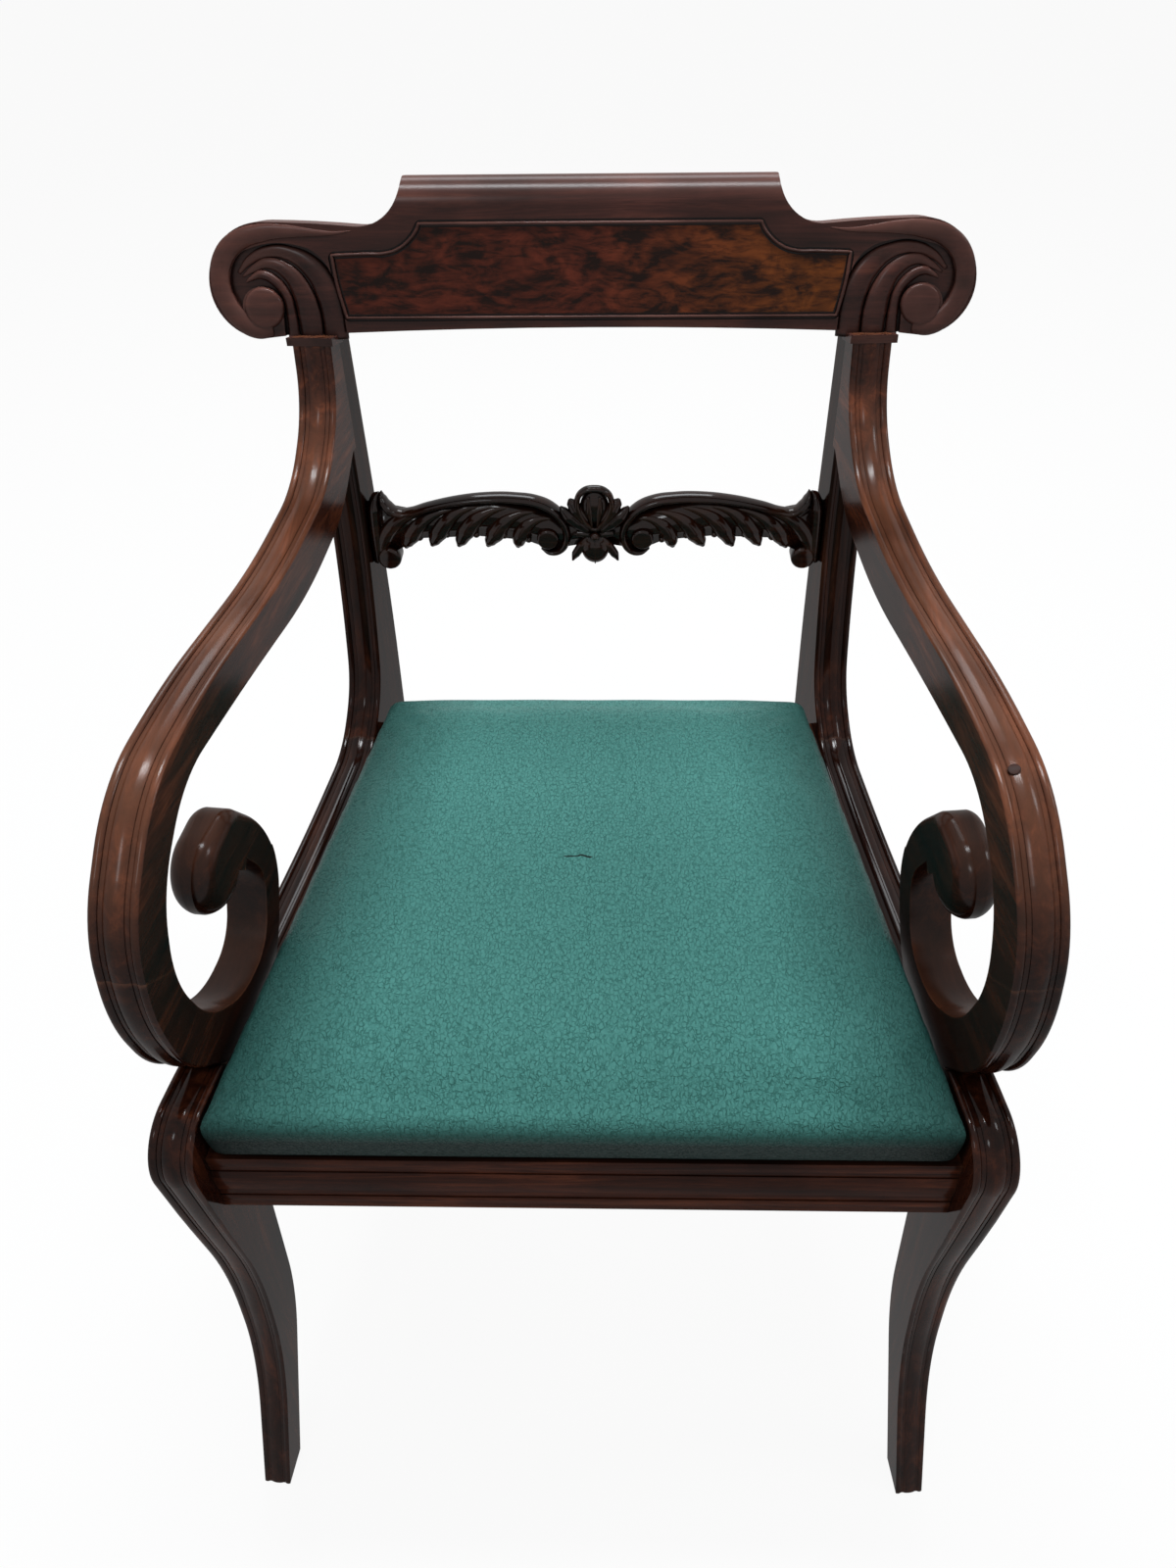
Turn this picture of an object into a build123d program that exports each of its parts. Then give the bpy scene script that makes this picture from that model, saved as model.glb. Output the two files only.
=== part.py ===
from build123d import *
import os
from math import atan2, cos, radians, sin, tan

# A joined elbow chair: sabre legs, reeded side frames, scrolled arms, a shaped crest and a drop-in seat.
# Millimetres, +Z up, the front faces -Y, and the origin is on the floor under the middle of the chair.
# Left and right are as seen from the front, so the right side is +X.
# A point of a side frame is (distance behind the middle, height) in the upright plane of that frame.

os.makedirs("parts", exist_ok=True)

# Whole chair
overall_height = 872.0      # floor to the top edge of the crest
half_span = 235.5           # middle of the chair to the middle of a side frame
splay = 5.7                 # degrees that each side frame opens towards the front
side_width = 30.0           # thickness of legs, rails, stiles and arms across the chair

# Side frames
stile_front = 240.0         # front of the stile behind the middle, at its top
stile_depth = 30.0          # front to back of the stile, at its top
stile_bend_height = 600.0   # the stile starts to curve forward here
stile_lean = 12.0           # how far it has come forward at lean_rise
lean_rise = 104.0           # above the seat rails
stile_curve = 27.0          # how far it has come forward at curve_rise
curve_rise = 36.0
stile_foot = 74.0           # how far it has come forward where it runs into the side rail
stile_foot_drop = 0.5       # below the tops of the seat rails
rail_dip = 1.0              # lowest part of the side rail's top, below the tops of the seat rails
rail_dip_run = 180.0        # that part in front of the stile
hip_bulge = 10.0            # swell of the stile's back above the seat
hip_height = 520.0
rail_top = 416.0            # top of the seat rails, where the drop-in seat rests
rail_height = 58.0
knee_reach = 276.0          # corner of the knee in front of the middle
knee_rise = 36.0            # corner of the knee above the rails
toe_reach = 308.0
heel_reach = 300.0
foot_length = 28.0          # toe to heel of one foot
calf_height = 240.0         # the leg is furthest back near here
calf_draw = 31.0            # how far the calf lies behind the knee
ankle_height = 120.0
ankle_draw = 22.0
leg_depth = 42.0            # front to back of the leg at the calf
leg_taper = 4.0             # each side of a leg comes in this much from the rails to the floor
leg_joint_set_back = 81.0   # side rail meets front leg, behind the corner of the knee
post_joint = 176.0          # side rail meets back post

# Reeded face of the side frames and arms
reed_width = 12.8
edge_bead = 5.4
reed_crown = 0.4            # depth of the top of the broad reed
reed_recess = 2.4           # depth at the edges of a reed or bead
bead_crown = 0.9            # depth of the top of an edge bead
quirk_recess = 2.9          # depth of the flats beside the reed
toe_reed_share = 0.3        # share of these depths that is left at the toes
cutter_margin = 2.0         # how far cutters stand outside the wood
edge_slack = 0.3            # how far a round starts outside the face that it runs into

# Arms
arm_drop = 92.6             # highest part of the arm's front, below the tops of the stiles
arm_set_back = 28.0         # front of the arm behind the corner of the knee
arm_thickness = 32.0
arm_top_front = 230.0       # front of the arm's upper end, at the crest
arm_lap = 8.0               # depth that the arm is let into the stile
arm_lap_drop = 3.0          # foot of that lap below the highest part of the arm
scarf_share = 0.35          # front of the joint between arm and scroll, down the loop of the arm
scarf_fall = 24.0           # how far the joint falls towards the inside of the arm
foot_set_back = 80.0        # front of the scroll's foot behind the corner of the knee
foot_run = 88.0             # length of that foot on the side rail
foot_front_rise = 26.0
foot_back_rise = 10.0
roll_set_back = 124.0       # middle of the scroll's roll behind the front of the arm
roll_share = 0.53           # its height in the loop of the arm
roll_radius = 30.0
roll_turn = 225.0           # degrees of the roll that are rounded, from its top over the front
roll_round = 14.2           # rounding of the roll's edges at its end
neck_round = 12.0           # the same where the roll starts
scroll_round = 1.5          # the same where the rounding runs out on the scroll
roll_room = 8.0             # clear space round the roll that goes with the scroll when the arm is parted
scroll_depth = 192.0        # back of the scroll behind the front of the arm
scroll_strip = 21.0         # thickness of the strip that rolls in

# Crest
crest_height = 109.0
crest_rake = 13.2           # degrees
crest_thickness = 32.0
crest_face = 236.0          # front of the crest behind the middle, at its lower edge
crest_half_width = 287.0
tablet_half_width = 138.0   # raised middle of the crest
shoulder_height = 76.0
volute_height = 79.5
volute_inner = 234.0        # where the volute leaves the lower edge
crest_arch = 5.0
crest_roll = 20.0           # rounding of the top edge
panel_half_width = 190.0
panel_top = 75.0
panel_low = 15.0
panel_shoulder = 54.0
panel_neck = 162.0          # where the curve from the top of the panel runs level
panel_top_half = 124.0
panel_thickness = 1.5
bead_width = 5.0
bead_depth = 3.0
bead_proud = 1.0
eye_offset = 249.0
eye_height = 20.0
eye_radius = 15.0
hollow_depth = 5.0          # sinking round the eye of a volute
hollow_inner = 188.0        # side of that sinking towards the panel
hollow_outer = 270.0
hollow_height = 63.0
collar_height = 6.0
collar_proud = 3.0

# Carved middle rail
mid_height = 592.5          # middle line of the rail above the floor
mid_face = 242.0
mid_thickness = 18.0
palmette_height = 41.0      # top of the palmette above the middle line
palmette_drop = 27.5
palmette_half = 27.0
wave_crest = 35.0           # top of the wave above the middle line
wave_dip = 16.0
wave_crest_offset = 80.0
wave_dip_offset = 168.0
wave_neck_offset = 28.0
inner_eye_offset = 38.0
inner_eye_drop = 8.0
inner_eye_radius = 14.0
outer_eye_offset = 179.0
outer_eye_drop = 22.5
outer_eye_radius = 11.0
leaf_count = 5
leaf_first = 67.0           # offset of the first leaf tip
leaf_pitch = 24.5
leaf_tip_drop = 15.0
leaf_width = 12.0           # radius of a leaf's rounded tip
eye_proud = 3.0

# Seat rails and joints
rail_thickness = 24.0
front_rail_set_back = 22.0  # face of the front rail behind the corner of the knee
back_rail_front = 181.0
top_band = 9.4              # bands of the front rail's moulding, from the top down
upper_quirk = 6.0
broad_band = 22.0
lower_quirk = 7.5
lower_bead = 6.4
band_recess = 1.2
band_quirk = 1.9            # depth of the flats beside these bands
tenon_thickness = 10.0
tenon_length = 28.0
tenon_height = 40.0
tenon_shoulder = 8.0        # rail above a tenon
stub_length = 9.0
stub_width = 10.0
stub_shoulder = 8.0
crest_tenon_length = 28.0
crest_tenon_thickness = 8.0
crest_tenon_width = 18.0
mortise_gap = 0.2
block_leg = 48.0
block_height = 50.0
block_screw_rise = 10.0     # lower screw above the foot of its block
block_screw_step = 26.0     # upper screw above the lower one
block_screw_offset = 20.0   # screw from the corner

# Screws, dowels and pellets
screw_diameter = 4.0
screw_head = 8.0
screw_head_height = 3.0
screw_bite = 9.0            # depth that a block screw enters the wood
arm_screw_bite = 22.0
screw_gap = 0.2
arm_screw_drop = 43.0       # arm screw below the tops of the stiles
pellet_length = 6.0
dowel_diameter = 9.0
dowel_half_length = 15.0
dowel_gap = 0.15

# Drop-in seat
seat_gap_front = 2.0        # seat to side frame at the front corners
seat_gap_back = 16.0
seat_back = 195.0
seat_front_inset = 1.0      # seat behind the face of the front rail
seat_rest_gap = 0.3
seat_side_height = 36.0     # upright part of the seat's edge
seat_crown = 19.0           # rise of the middle above that
seat_corner = 12.0
side_draw = 2.5             # sides pull in this much between the corners
cover_thickness = 1.5
cover_turn = 22.0           # cover turned under the seat frame
frame_clearance = 0.5
member_width = 45.0
member_thickness = 22.0
seat_tenon_thickness = 8.0
seat_tenon_width = 24.0
seat_tenon_length = 20.0
web_width = 45.0
web_thickness = 1.4
web_count = 4
web_pitch = 78.0
web_end = 10.0
hessian_thickness = 0.8
hessian_inset = 12.0
bottoming_thickness = 0.8
bottoming_gap = 2.0
tack_head = 7.0
tack_head_height = 0.8
tack_shank = 1.6
tack_length = 10.0
tack_gap = 0.2
tack_inset = 13.0
tacks_across = 7
tacks_along = 6

# Worked out from the sizes above
crest_loss = crest_roll * (sin(radians(crest_rake)) + cos(radians(crest_rake)) - 1)
stile_top = overall_height + crest_loss - crest_height * cos(radians(crest_rake))
stile_back = stile_front + stile_depth
lap_line = stile_front + arm_lap
arm_height = stile_top - arm_drop
arm_reach = knee_reach - arm_set_back
foot_front = knee_reach - foot_set_back
foot_back = foot_front - foot_run
roll_reach = arm_reach - roll_set_back
scroll_back = arm_reach - scroll_depth
lap_height = arm_height - arm_lap_drop
rail_bottom = rail_top - rail_height
knee_height = rail_top + knee_rise
front_rail_face = -(knee_reach - front_rail_set_back) * cos(radians(splay))
leg_joint = leg_joint_set_back - knee_reach
loop_height = arm_height - rail_top
scarf_height = arm_height - scarf_share * loop_height
roll_height = rail_top + roll_share * loop_height
scroll_height = roll_height + roll_radius - rail_top
tenon_top = rail_top - tenon_shoulder
seat_front = front_rail_face + seat_front_inset
seat_low = rail_top + seat_rest_gap
frame_bottom = seat_low + cover_thickness
frame_top = frame_bottom + member_thickness
hessian_bottom = frame_top + 2 * web_thickness
hessian_top = hessian_bottom + hessian_thickness

side_plane = Plane(
    origin=(half_span, 0, 0),
    x_dir=(-sin(radians(splay)), cos(radians(splay)), 0),
    z_dir=(cos(radians(splay)), sin(radians(splay)), 0),
)
inner_plane = side_plane.offset(-side_width / 2)
crest_plane = Plane(
    origin=(0, crest_face, stile_top),
    x_dir=(1, 0, 0),
    z_dir=(0, -cos(radians(crest_rake)), sin(radians(crest_rake))),
)
crest_seat = Plane(
    origin=(0, crest_face, stile_top),
    x_dir=(1, 0, 0),
    z_dir=(0, sin(radians(crest_rake)), cos(radians(crest_rake))),
)


def at_side(behind, height, out=0.0):
    """The place of a side-frame point, moved outwards from the middle of the frame's thickness."""
    return side_plane.from_local_coords((behind, height, out))


def inner_face(y):
    """Distance of a side frame's inner face from the middle of the chair, at this depth."""
    return half_span - y * tan(radians(splay)) - side_width / 2 / cos(radians(splay))


def flowing_line(points):
    """A line along these corners, each rounded nearly as far as its two runs allow."""
    radii = []
    for before, corner, after in zip(points, points[1:], points[2:]):
        run_in = Vector(corner) - Vector(before)
        run_out = Vector(after) - Vector(corner)
        half_turn = radians(run_in.get_angle(run_out) / 2)
        radii.append(0.45 * min(run_in.length, run_out.length) / tan(half_turn))
    return FilletPolyline(*points, radius=radii)


# Lines of the side frame: the reeded line from stile to toe, then the plain lines behind it
over_top = stile_top + crest_thickness
leg_line = [
    (14 - knee_reach, rail_bottom - 13),
    (calf_draw - knee_reach, calf_height),
    (ankle_draw - knee_reach, ankle_height),
    (-toe_reach, 0),
]
frame_line = [
    (stile_front, over_top),
    (stile_front - 1, stile_bend_height),
    (stile_front - stile_lean, rail_top + lean_rise),
    (stile_front - stile_curve, rail_top + curve_rise),
    (stile_front - stile_foot, rail_top - stile_foot_drop),
    (stile_front - rail_dip_run, rail_top - rail_dip),
    (leg_joint + 105, rail_top + 8),
    (leg_joint + 15, knee_height - 5),
    (-knee_reach, knee_height),
    *leg_line,
]
leg_back_line = [
    (foot_length - toe_reach, 0),
    (ankle_draw - knee_reach + leg_depth + 3, ankle_height + 30),
    (calf_draw - knee_reach + leg_depth, calf_height),
    (leg_joint - 1, rail_bottom),
    (leg_joint + 55, rail_bottom),
]
post_front_line = [
    (post_joint - 36, rail_bottom),
    (post_joint + 30, rail_bottom),
    (post_joint + 36, calf_height),
    (heel_reach - foot_length - 38, ankle_height),
    (heel_reach - foot_length, 0),
]
post_back_line = [
    (heel_reach, 0),
    (heel_reach - 24, ankle_height + 30),
    (stile_back - 4, rail_bottom - 28),
    (stile_back + hip_bulge, hip_height),
    (stile_back, over_top),
]

# Lines of the arm: the reeded line from crest to foot, the back of the scroll, and the inside of the arm
arm_line = [
    (arm_top_front, over_top),
    (arm_top_front - 10, arm_height + 0.45 * arm_drop),
    (arm_top_front - 60, arm_height),
    (arm_top_front - 165, arm_height - 0.04 * loop_height),
    (165 - arm_reach, arm_height),
    (75 - arm_reach, arm_height - 0.02 * loop_height),
    (12 - arm_reach, arm_height - 0.24 * loop_height),
    (-arm_reach, arm_height - 0.5 * loop_height),
    (16 - arm_reach, rail_top + 0.26 * loop_height),
    (-foot_front, rail_top + foot_front_rise),
]
scroll_foot_line = [
    (-foot_back, rail_top + foot_back_rise),
    (-scroll_back - 26, rail_top + 0.19 * scroll_height),
]
scroll_back_line = [
    *scroll_foot_line,
    (-scroll_back, rail_top + 0.46 * scroll_height),
    (-scroll_back - 5, rail_top + 0.74 * scroll_height),
    (roll_radius - roll_reach, rail_top + scroll_height),
    (-roll_reach, rail_top + scroll_height),
]
arm_inside_line = [
    (roll_radius - 5 - roll_reach, roll_height - 0.4 * roll_radius),
    (-scroll_back - scroll_strip, rail_top + 0.54 * scroll_height),
    (-scroll_back - scroll_strip - 25, rail_top + 0.25 * scroll_height),
    (46 - foot_front, rail_top + 0.25 * scroll_height),
    (-foot_front, rail_top + 0.45 * scroll_height),
    (arm_thickness - arm_reach, arm_height - 0.48 * loop_height),
    (arm_thickness + 20 - arm_reach, arm_height - arm_thickness - 0.14 * loop_height),
    (108 - arm_reach, arm_height - arm_thickness + 3),
    (218 - arm_reach, arm_height - arm_thickness - 4),
    (stile_front - 150, arm_height - arm_thickness - 16),
    (stile_front - 50, arm_height - arm_thickness - 4),
    (stile_front, lap_height),
]


def moulding(bands, width):
    """The waste outside a moulded face: each band is (start, end, depth at its edges, depth of its top)."""
    outer = width / 2 + cutter_margin
    with BuildSketch() as waste:
        with BuildLine():
            place = (-outer, cutter_margin)
            for start, end, edge, crown in bands:
                low = edge if place[1] > 0 else band_quirk
                Polyline(place, (place[0], -low), (start, -low))
                if low > edge:
                    Line((start, -low), (start, -edge))
                ThreePointArc((start, -edge), ((start + end) / 2, -crown), (end, -edge))
                place = (end, -edge)
            Polyline(place, (outer, place[1]), (outer, cutter_margin), (-outer, cutter_margin))
        make_face()
    return waste.sketch


def reeded_face(share=1.0, depth=1.0):
    """The waste outside a reeded face: a broad reed between quirks and edge beads, narrowed and flattened."""
    half = share * side_width / 2
    reed = share * reed_width / 2
    bead = share * edge_bead
    crown = depth * reed_crown
    edge = depth * reed_recess
    quirk = depth * quirk_recess
    outer = half + cutter_margin
    with BuildSketch() as waste:
        with BuildLine():
            Line((0, cutter_margin), (0, -crown))
            TangentArc((0, -crown), (reed, -edge), tangent=(1, 0))
            Polyline((reed, -edge), (reed, -quirk), (half - bead, -quirk), (half - bead, -edge))
            ThreePointArc((half - bead, -edge), (half - bead / 2, -depth * bead_crown), (half, -edge))
            Polyline((half, -edge), (outer, -edge), (outer, cutter_margin), (0, cutter_margin))
        make_face()
        mirror(about=Plane.YZ)
    return waste.sketch


def rounded_edge(radius):
    """The waste outside one rounded edge of the scroll; the round starts just outside the wood."""
    half = side_width / 2
    cut = radius * (1 - cos(radians(45)))
    start = (half - radius, edge_slack)
    end = (half + edge_slack, -radius)
    with BuildSketch() as waste:
        with BuildLine():
            ThreePointArc(start, (half - cut, -cut), end)
            Polyline(end, (half + cutter_margin, -radius), (half + cutter_margin, cutter_margin))
            Polyline((half + cutter_margin, cutter_margin), (half - radius, cutter_margin), start)
        make_face()
    return waste.sketch


def reeded_path(points):
    """The lines and arcs, in order, of a reeded line in the side frame."""
    with BuildLine(side_plane) as path:
        flowing_line(points)
    return path.wire().edges()


def reeding(edges, end_share=1.0, end_depth=1.0):
    """The waste to take off along a reeded path, whose face narrows and flattens to a share at its end."""
    path = Wire(edges)
    with BuildPart() as waste:
        with BuildSketch(Plane(origin=path @ 0, x_dir=side_plane.z_dir, z_dir=path % 0)) as first:
            add(reeded_face())
        if end_share < 1:
            with BuildSketch(Plane(origin=path @ 1, x_dir=side_plane.z_dir, z_dir=path % 1)) as last:
                add(reeded_face(end_share, end_depth))
            sweep(sections=[first.sketch, last.sketch], path=path, multisection=True)
        else:
            sweep(path=path)
    return waste.part


def side_block(from_behind, to_behind, low, high, thickness, gap=0.0):
    """A square block in the middle of the side frame's thickness, such as a tenon or its mortise."""
    with BuildPart() as block:
        with BuildSketch(side_plane):
            with Locations(((from_behind + to_behind) / 2, (low + high) / 2)):
                Rectangle(to_behind - from_behind + 2 * gap, high - low + 2 * gap)
        extrude(amount=thickness / 2 + gap, both=True)
    return block.part


def inner_stub(behind, low, high, gap=0.0):
    """A stub tenon, or its mortise, that enters the inner face of a side frame."""
    with BuildPart() as stub:
        with BuildSketch(inner_plane):
            with Locations((behind, (low + high) / 2)):
                Rectangle(stub_width + 2 * gap, high - low + 2 * gap)
        extrude(amount=stub_length + gap)
    return stub.part


def crest_tenon(gap=0.0):
    """The tenon on top of the right back post, or its mortise in the crest."""
    middle = at_side((lap_line + stile_back) / 2, 0)
    depth = (middle.Y - crest_face) / cos(radians(crest_rake))
    with BuildPart() as tenon:
        with BuildSketch(crest_seat):
            with Locations((middle.X, depth)):
                Rectangle(crest_tenon_width + 2 * gap, crest_tenon_thickness + 2 * gap)
        extrude(amount=crest_tenon_length + gap)
    return tenon.part


def rod(start, direction, length, diameter):
    """A round rod, or the bore for one, from a point along a direction."""
    with BuildPart() as piece:
        with BuildSketch(Plane(origin=start, z_dir=direction)):
            Circle(diameter / 2)
        extrude(amount=length)
    return piece.part


def screw(seat, way, bite, gap=0.0):
    """A screw, or its clearance, whose head sits on a point and whose shank goes along a way."""
    with BuildPart() as piece:
        add(rod(seat - way * screw_head_height, way, screw_head_height, screw_head + 2 * gap))
        add(rod(seat, way, bite + gap, screw_diameter + 2 * gap))
    return piece.part


def dowel(middle, direction, gap=0.0):
    """A dowel, or its hole, across a joint."""
    half = dowel_half_length + gap
    return rod(middle - direction * half, direction, 2 * half, dowel_diameter + 2 * gap)


def finish(part, label):
    """Name a finished piece and write it."""
    part.label = label
    export_step(part, "parts/" + label + ".step")


def finish_pair(part, name):
    """Write a right-hand piece and its mirror image."""
    finish(part, "right_" + name)
    finish(mirror(part, about=Plane.YZ), "left_" + name)


side_normal = side_plane.z_dir
side_along = side_plane.x_dir
upward = Vector(0, 0, 1)
leg_plane = Plane(origin=at_side(leg_joint, 0), x_dir=side_normal, z_dir=side_along)
post_plane = Plane(origin=at_side(post_joint, 0), x_dir=side_normal, z_dir=side_along)
taper_angle = atan2(leg_taper, rail_bottom)
taper_plane = Plane(
    origin=at_side(0, rail_bottom),
    x_dir=side_along,
    z_dir=side_normal * cos(taper_angle) - upward * sin(taper_angle),
)

# Screws of the arms and blocks: where each head sits and the way its shank points
arm_screw_seat = at_side(stile_back - pellet_length - screw_head_height, stile_top - arm_screw_drop)
arm_screw_way = side_along * -1
arm_screw_length = stile_depth - pellet_length - screw_head_height - arm_lap + arm_screw_bite
arm_screw = (arm_screw_seat, arm_screw_way, arm_screw_length)
pellet_seat = arm_screw_seat + side_along * screw_head_height
block_low = rail_top - block_height
block_head_depth = (block_leg - block_screw_offset) / 2
front_rail_back = front_rail_face + rail_thickness


def block_screws(corner_y, inward):
    """The two screws of the right block in this corner: into the cross rail, then into the side frame."""
    length = block_head_depth + screw_bite
    across = Vector(inner_face(corner_y) - block_screw_offset, corner_y, block_low + block_screw_rise)
    along_y = corner_y + inward * block_screw_offset
    along = Vector(inner_face(along_y), along_y, block_low + block_screw_rise + block_screw_step)
    head_across = across + Vector(0, inward * block_head_depth, 0)
    head_along = along - side_normal * block_head_depth
    return [(head_across, Vector(0, -inward, 0), length), (head_along, side_normal, length)]


front_block_screws = block_screws(front_rail_back, 1)
back_block_screws = block_screws(back_rail_front, -1)

# Dowels between the scroll and the side rail, and in the scarf
foot_way = Vector(foot_run, foot_back_rise - foot_front_rise, 0).normalized()
foot_along = side_along * foot_way.X + upward * foot_way.Y
foot_up = side_along * -foot_way.Y + upward * foot_way.X
foot_middle = at_side(-(foot_front + foot_back) / 2, rail_top + (foot_front_rise + foot_back_rise) / 2)
dowel_spread = foot_run / 4
foot_dowels = [foot_middle + foot_along * dowel_spread, foot_middle - foot_along * dowel_spread]
scarf_dowel = at_side(arm_thickness / 2 + 7 - arm_reach, scarf_height - scarf_fall / 2)

# Tenons: two on each side rail, stubs on the cross rails
leg_tenon = (leg_joint - tenon_length, leg_joint, tenon_top - tenon_height, tenon_top, tenon_thickness)
post_tenon = (post_joint, post_joint + tenon_length, tenon_top - tenon_height, tenon_top, tenon_thickness)
stub_low = rail_bottom + stub_shoulder
stub_high = rail_top - stub_shoulder
front_stub = ((front_rail_face + rail_thickness / 2) / cos(radians(splay)), stub_low, stub_high)
back_stub = ((back_rail_front + rail_thickness / 2) / cos(radians(splay)), stub_low, stub_high)
mid_stub = (
    (mid_face + mid_thickness / 2) / cos(radians(splay)),
    mid_height - outer_eye_drop + stub_shoulder,
    mid_height + wave_dip - stub_shoulder,
)


def arm_blank():
    """The whole right arm with its scroll, before it is reeded and cut at the scarf."""
    with BuildPart() as blank:
        with BuildSketch(side_plane):
            with BuildLine():
                flowing_line(arm_line)
                Line(arm_line[-1], scroll_back_line[0])
                flowing_line(scroll_back_line)
                Polyline(scroll_back_line[-1], (-roll_reach, roll_height), arm_inside_line[0])
                flowing_line(arm_inside_line)
                Polyline(arm_inside_line[-1], (lap_line, lap_height), (lap_line, over_top), arm_line[0])
            make_face()
            with Locations((-roll_reach, roll_height)):
                Circle(roll_radius)
        extrude(amount=side_width / 2, both=True)
    return blank.part


def side_frame_blank():
    """Leg, rail and post of the right side in one, before they are reeded and cut apart."""
    with BuildPart() as blank:
        with BuildSketch(side_plane):
            with BuildLine():
                flowing_line(frame_line)
                Line(frame_line[-1], leg_back_line[0])
                flowing_line(leg_back_line)
                Line(leg_back_line[-1], post_front_line[0])
                flowing_line(post_front_line)
                Line(post_front_line[-1], post_back_line[0])
                flowing_line(post_back_line)
                Line(post_back_line[-1], frame_line[0])
            make_face()
        extrude(amount=side_width / 2, both=True)
    return blank.part


def roll_waste():
    """What comes off the outer edge of the scroll, which grows rounder towards the end of its roll."""
    with BuildLine(side_plane) as line:
        flowing_line(scroll_back_line)
        roll = CenterArc((-roll_reach, roll_height), roll_radius, 90, roll_turn)
    path = Wire(line.wire().edges()[2 * len(scroll_foot_line):])
    neck = 1 - roll.length / path.length
    with BuildPart() as waste:
        with BuildSketch(Plane(origin=path @ 0, x_dir=side_normal, z_dir=path % 0)) as first:
            add(rounded_edge(scroll_round))
        with BuildSketch(Plane(origin=path @ neck, x_dir=side_normal, z_dir=path % neck)) as middle:
            add(rounded_edge(neck_round))
        with BuildSketch(Plane(origin=path @ 1, x_dir=side_normal, z_dir=path % 1)) as last:
            add(rounded_edge(roll_round))
        sweep(sections=[first.sketch, middle.sketch, last.sketch], path=path, multisection=True)
    return waste.part


def taper_waste():
    """What comes off the outer side of the legs so that they narrow towards the floor."""
    with BuildPart() as waste:
        with BuildSketch(taper_plane.offset(side_width / 2)):
            with Locations((0, -rail_bottom / 2)):
                Rectangle(2 * (toe_reach + heel_reach), rail_bottom)
        extrude(amount=2 * leg_taper)
    return waste.part


def scroll_region():
    """Everything that belongs to the scroll and not to the upper arm."""
    roll_space = roll_radius + roll_room
    with BuildPart() as region:
        with BuildSketch(side_plane):
            with BuildLine():
                Polyline(
                    (-arm_reach, scarf_height),
                    (arm_thickness - arm_reach, scarf_height - scarf_fall),
                    (-roll_reach, roll_height),
                    (-roll_reach, roll_height + roll_space),
                    (0, roll_height + roll_space),
                    (0, rail_bottom),
                    (-arm_reach, rail_bottom),
                    close=True,
                )
            make_face()
            with Locations((-roll_reach, roll_height)):
                Circle(roll_space)
        extrude(amount=side_width, both=True)
    return region.part


# A path has a line and an arc for each corner, and the leg is what follows the knee
frame_path = reeded_path(frame_line)
leg_start = len(frame_path) - 2 * len(leg_line) + 1
plain_arm = arm_blank()
arm_reeds = reeding(reeded_path(arm_line))
upper_reeds = reeding(frame_path[:leg_start])
leg_reeds = reeding(frame_path[leg_start:], 1 - 2 * leg_taper / side_width, toe_reed_share)
outer_taper = taper_waste()
inner_taper = mirror(outer_taper, about=side_plane)
scroll_space = scroll_region()
outer_round = roll_waste()
inner_round = mirror(outer_round, about=side_plane)

with BuildPart() as reeded_arm:
    add(plain_arm)
    add(arm_reeds, mode=Mode.SUBTRACT)

with BuildPart() as side_frame:
    add(side_frame_blank())
    add(outer_taper, mode=Mode.SUBTRACT)
    add(inner_taper, mode=Mode.SUBTRACT)
    add(upper_reeds, mode=Mode.SUBTRACT)

# Arms, parted at the scarf into an upper arm and a scroll
with BuildPart() as arm:
    add(reeded_arm.part)
    add(scroll_space, mode=Mode.SUBTRACT)
    split(bisect_by=crest_seat, keep=Keep.BOTTOM)
    add(dowel(scarf_dowel, upward, dowel_gap), mode=Mode.SUBTRACT)
    add(screw(*arm_screw, screw_gap), mode=Mode.SUBTRACT)
finish_pair(arm.part, "arm")

with BuildPart() as arm_scroll:
    add(reeded_arm.part)
    add(scroll_space, mode=Mode.INTERSECT)
    add(outer_round, mode=Mode.SUBTRACT)
    add(inner_round, mode=Mode.SUBTRACT)
    add(dowel(scarf_dowel, upward, dowel_gap), mode=Mode.SUBTRACT)
    for middle in foot_dowels:
        add(dowel(middle, foot_up, dowel_gap), mode=Mode.SUBTRACT)
finish_pair(arm_scroll.part, "arm_scroll")

# Side frames, cut into leg, rail and post
with BuildPart() as front_leg:
    add(side_frame.part)
    split(bisect_by=leg_plane, keep=Keep.BOTTOM)
    add(leg_reeds, mode=Mode.SUBTRACT)
    add(plain_arm, mode=Mode.SUBTRACT)
    add(side_block(*leg_tenon, mortise_gap), mode=Mode.SUBTRACT)
    add(inner_stub(*front_stub, mortise_gap), mode=Mode.SUBTRACT)
    for fastener in front_block_screws:
        add(screw(*fastener, screw_gap), mode=Mode.SUBTRACT)
finish_pair(front_leg.part, "front_leg")

with BuildPart() as side_rail:
    add(side_frame.part)
    split(bisect_by=leg_plane, keep=Keep.TOP)
    split(bisect_by=post_plane, keep=Keep.BOTTOM)
    add(side_block(*leg_tenon))
    add(side_block(*post_tenon))
    add(plain_arm, mode=Mode.SUBTRACT)
    for middle in foot_dowels:
        add(dowel(middle, foot_up, dowel_gap), mode=Mode.SUBTRACT)
    for fastener in front_block_screws + back_block_screws:
        add(screw(*fastener, screw_gap), mode=Mode.SUBTRACT)
finish_pair(side_rail.part, "side_rail")

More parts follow.
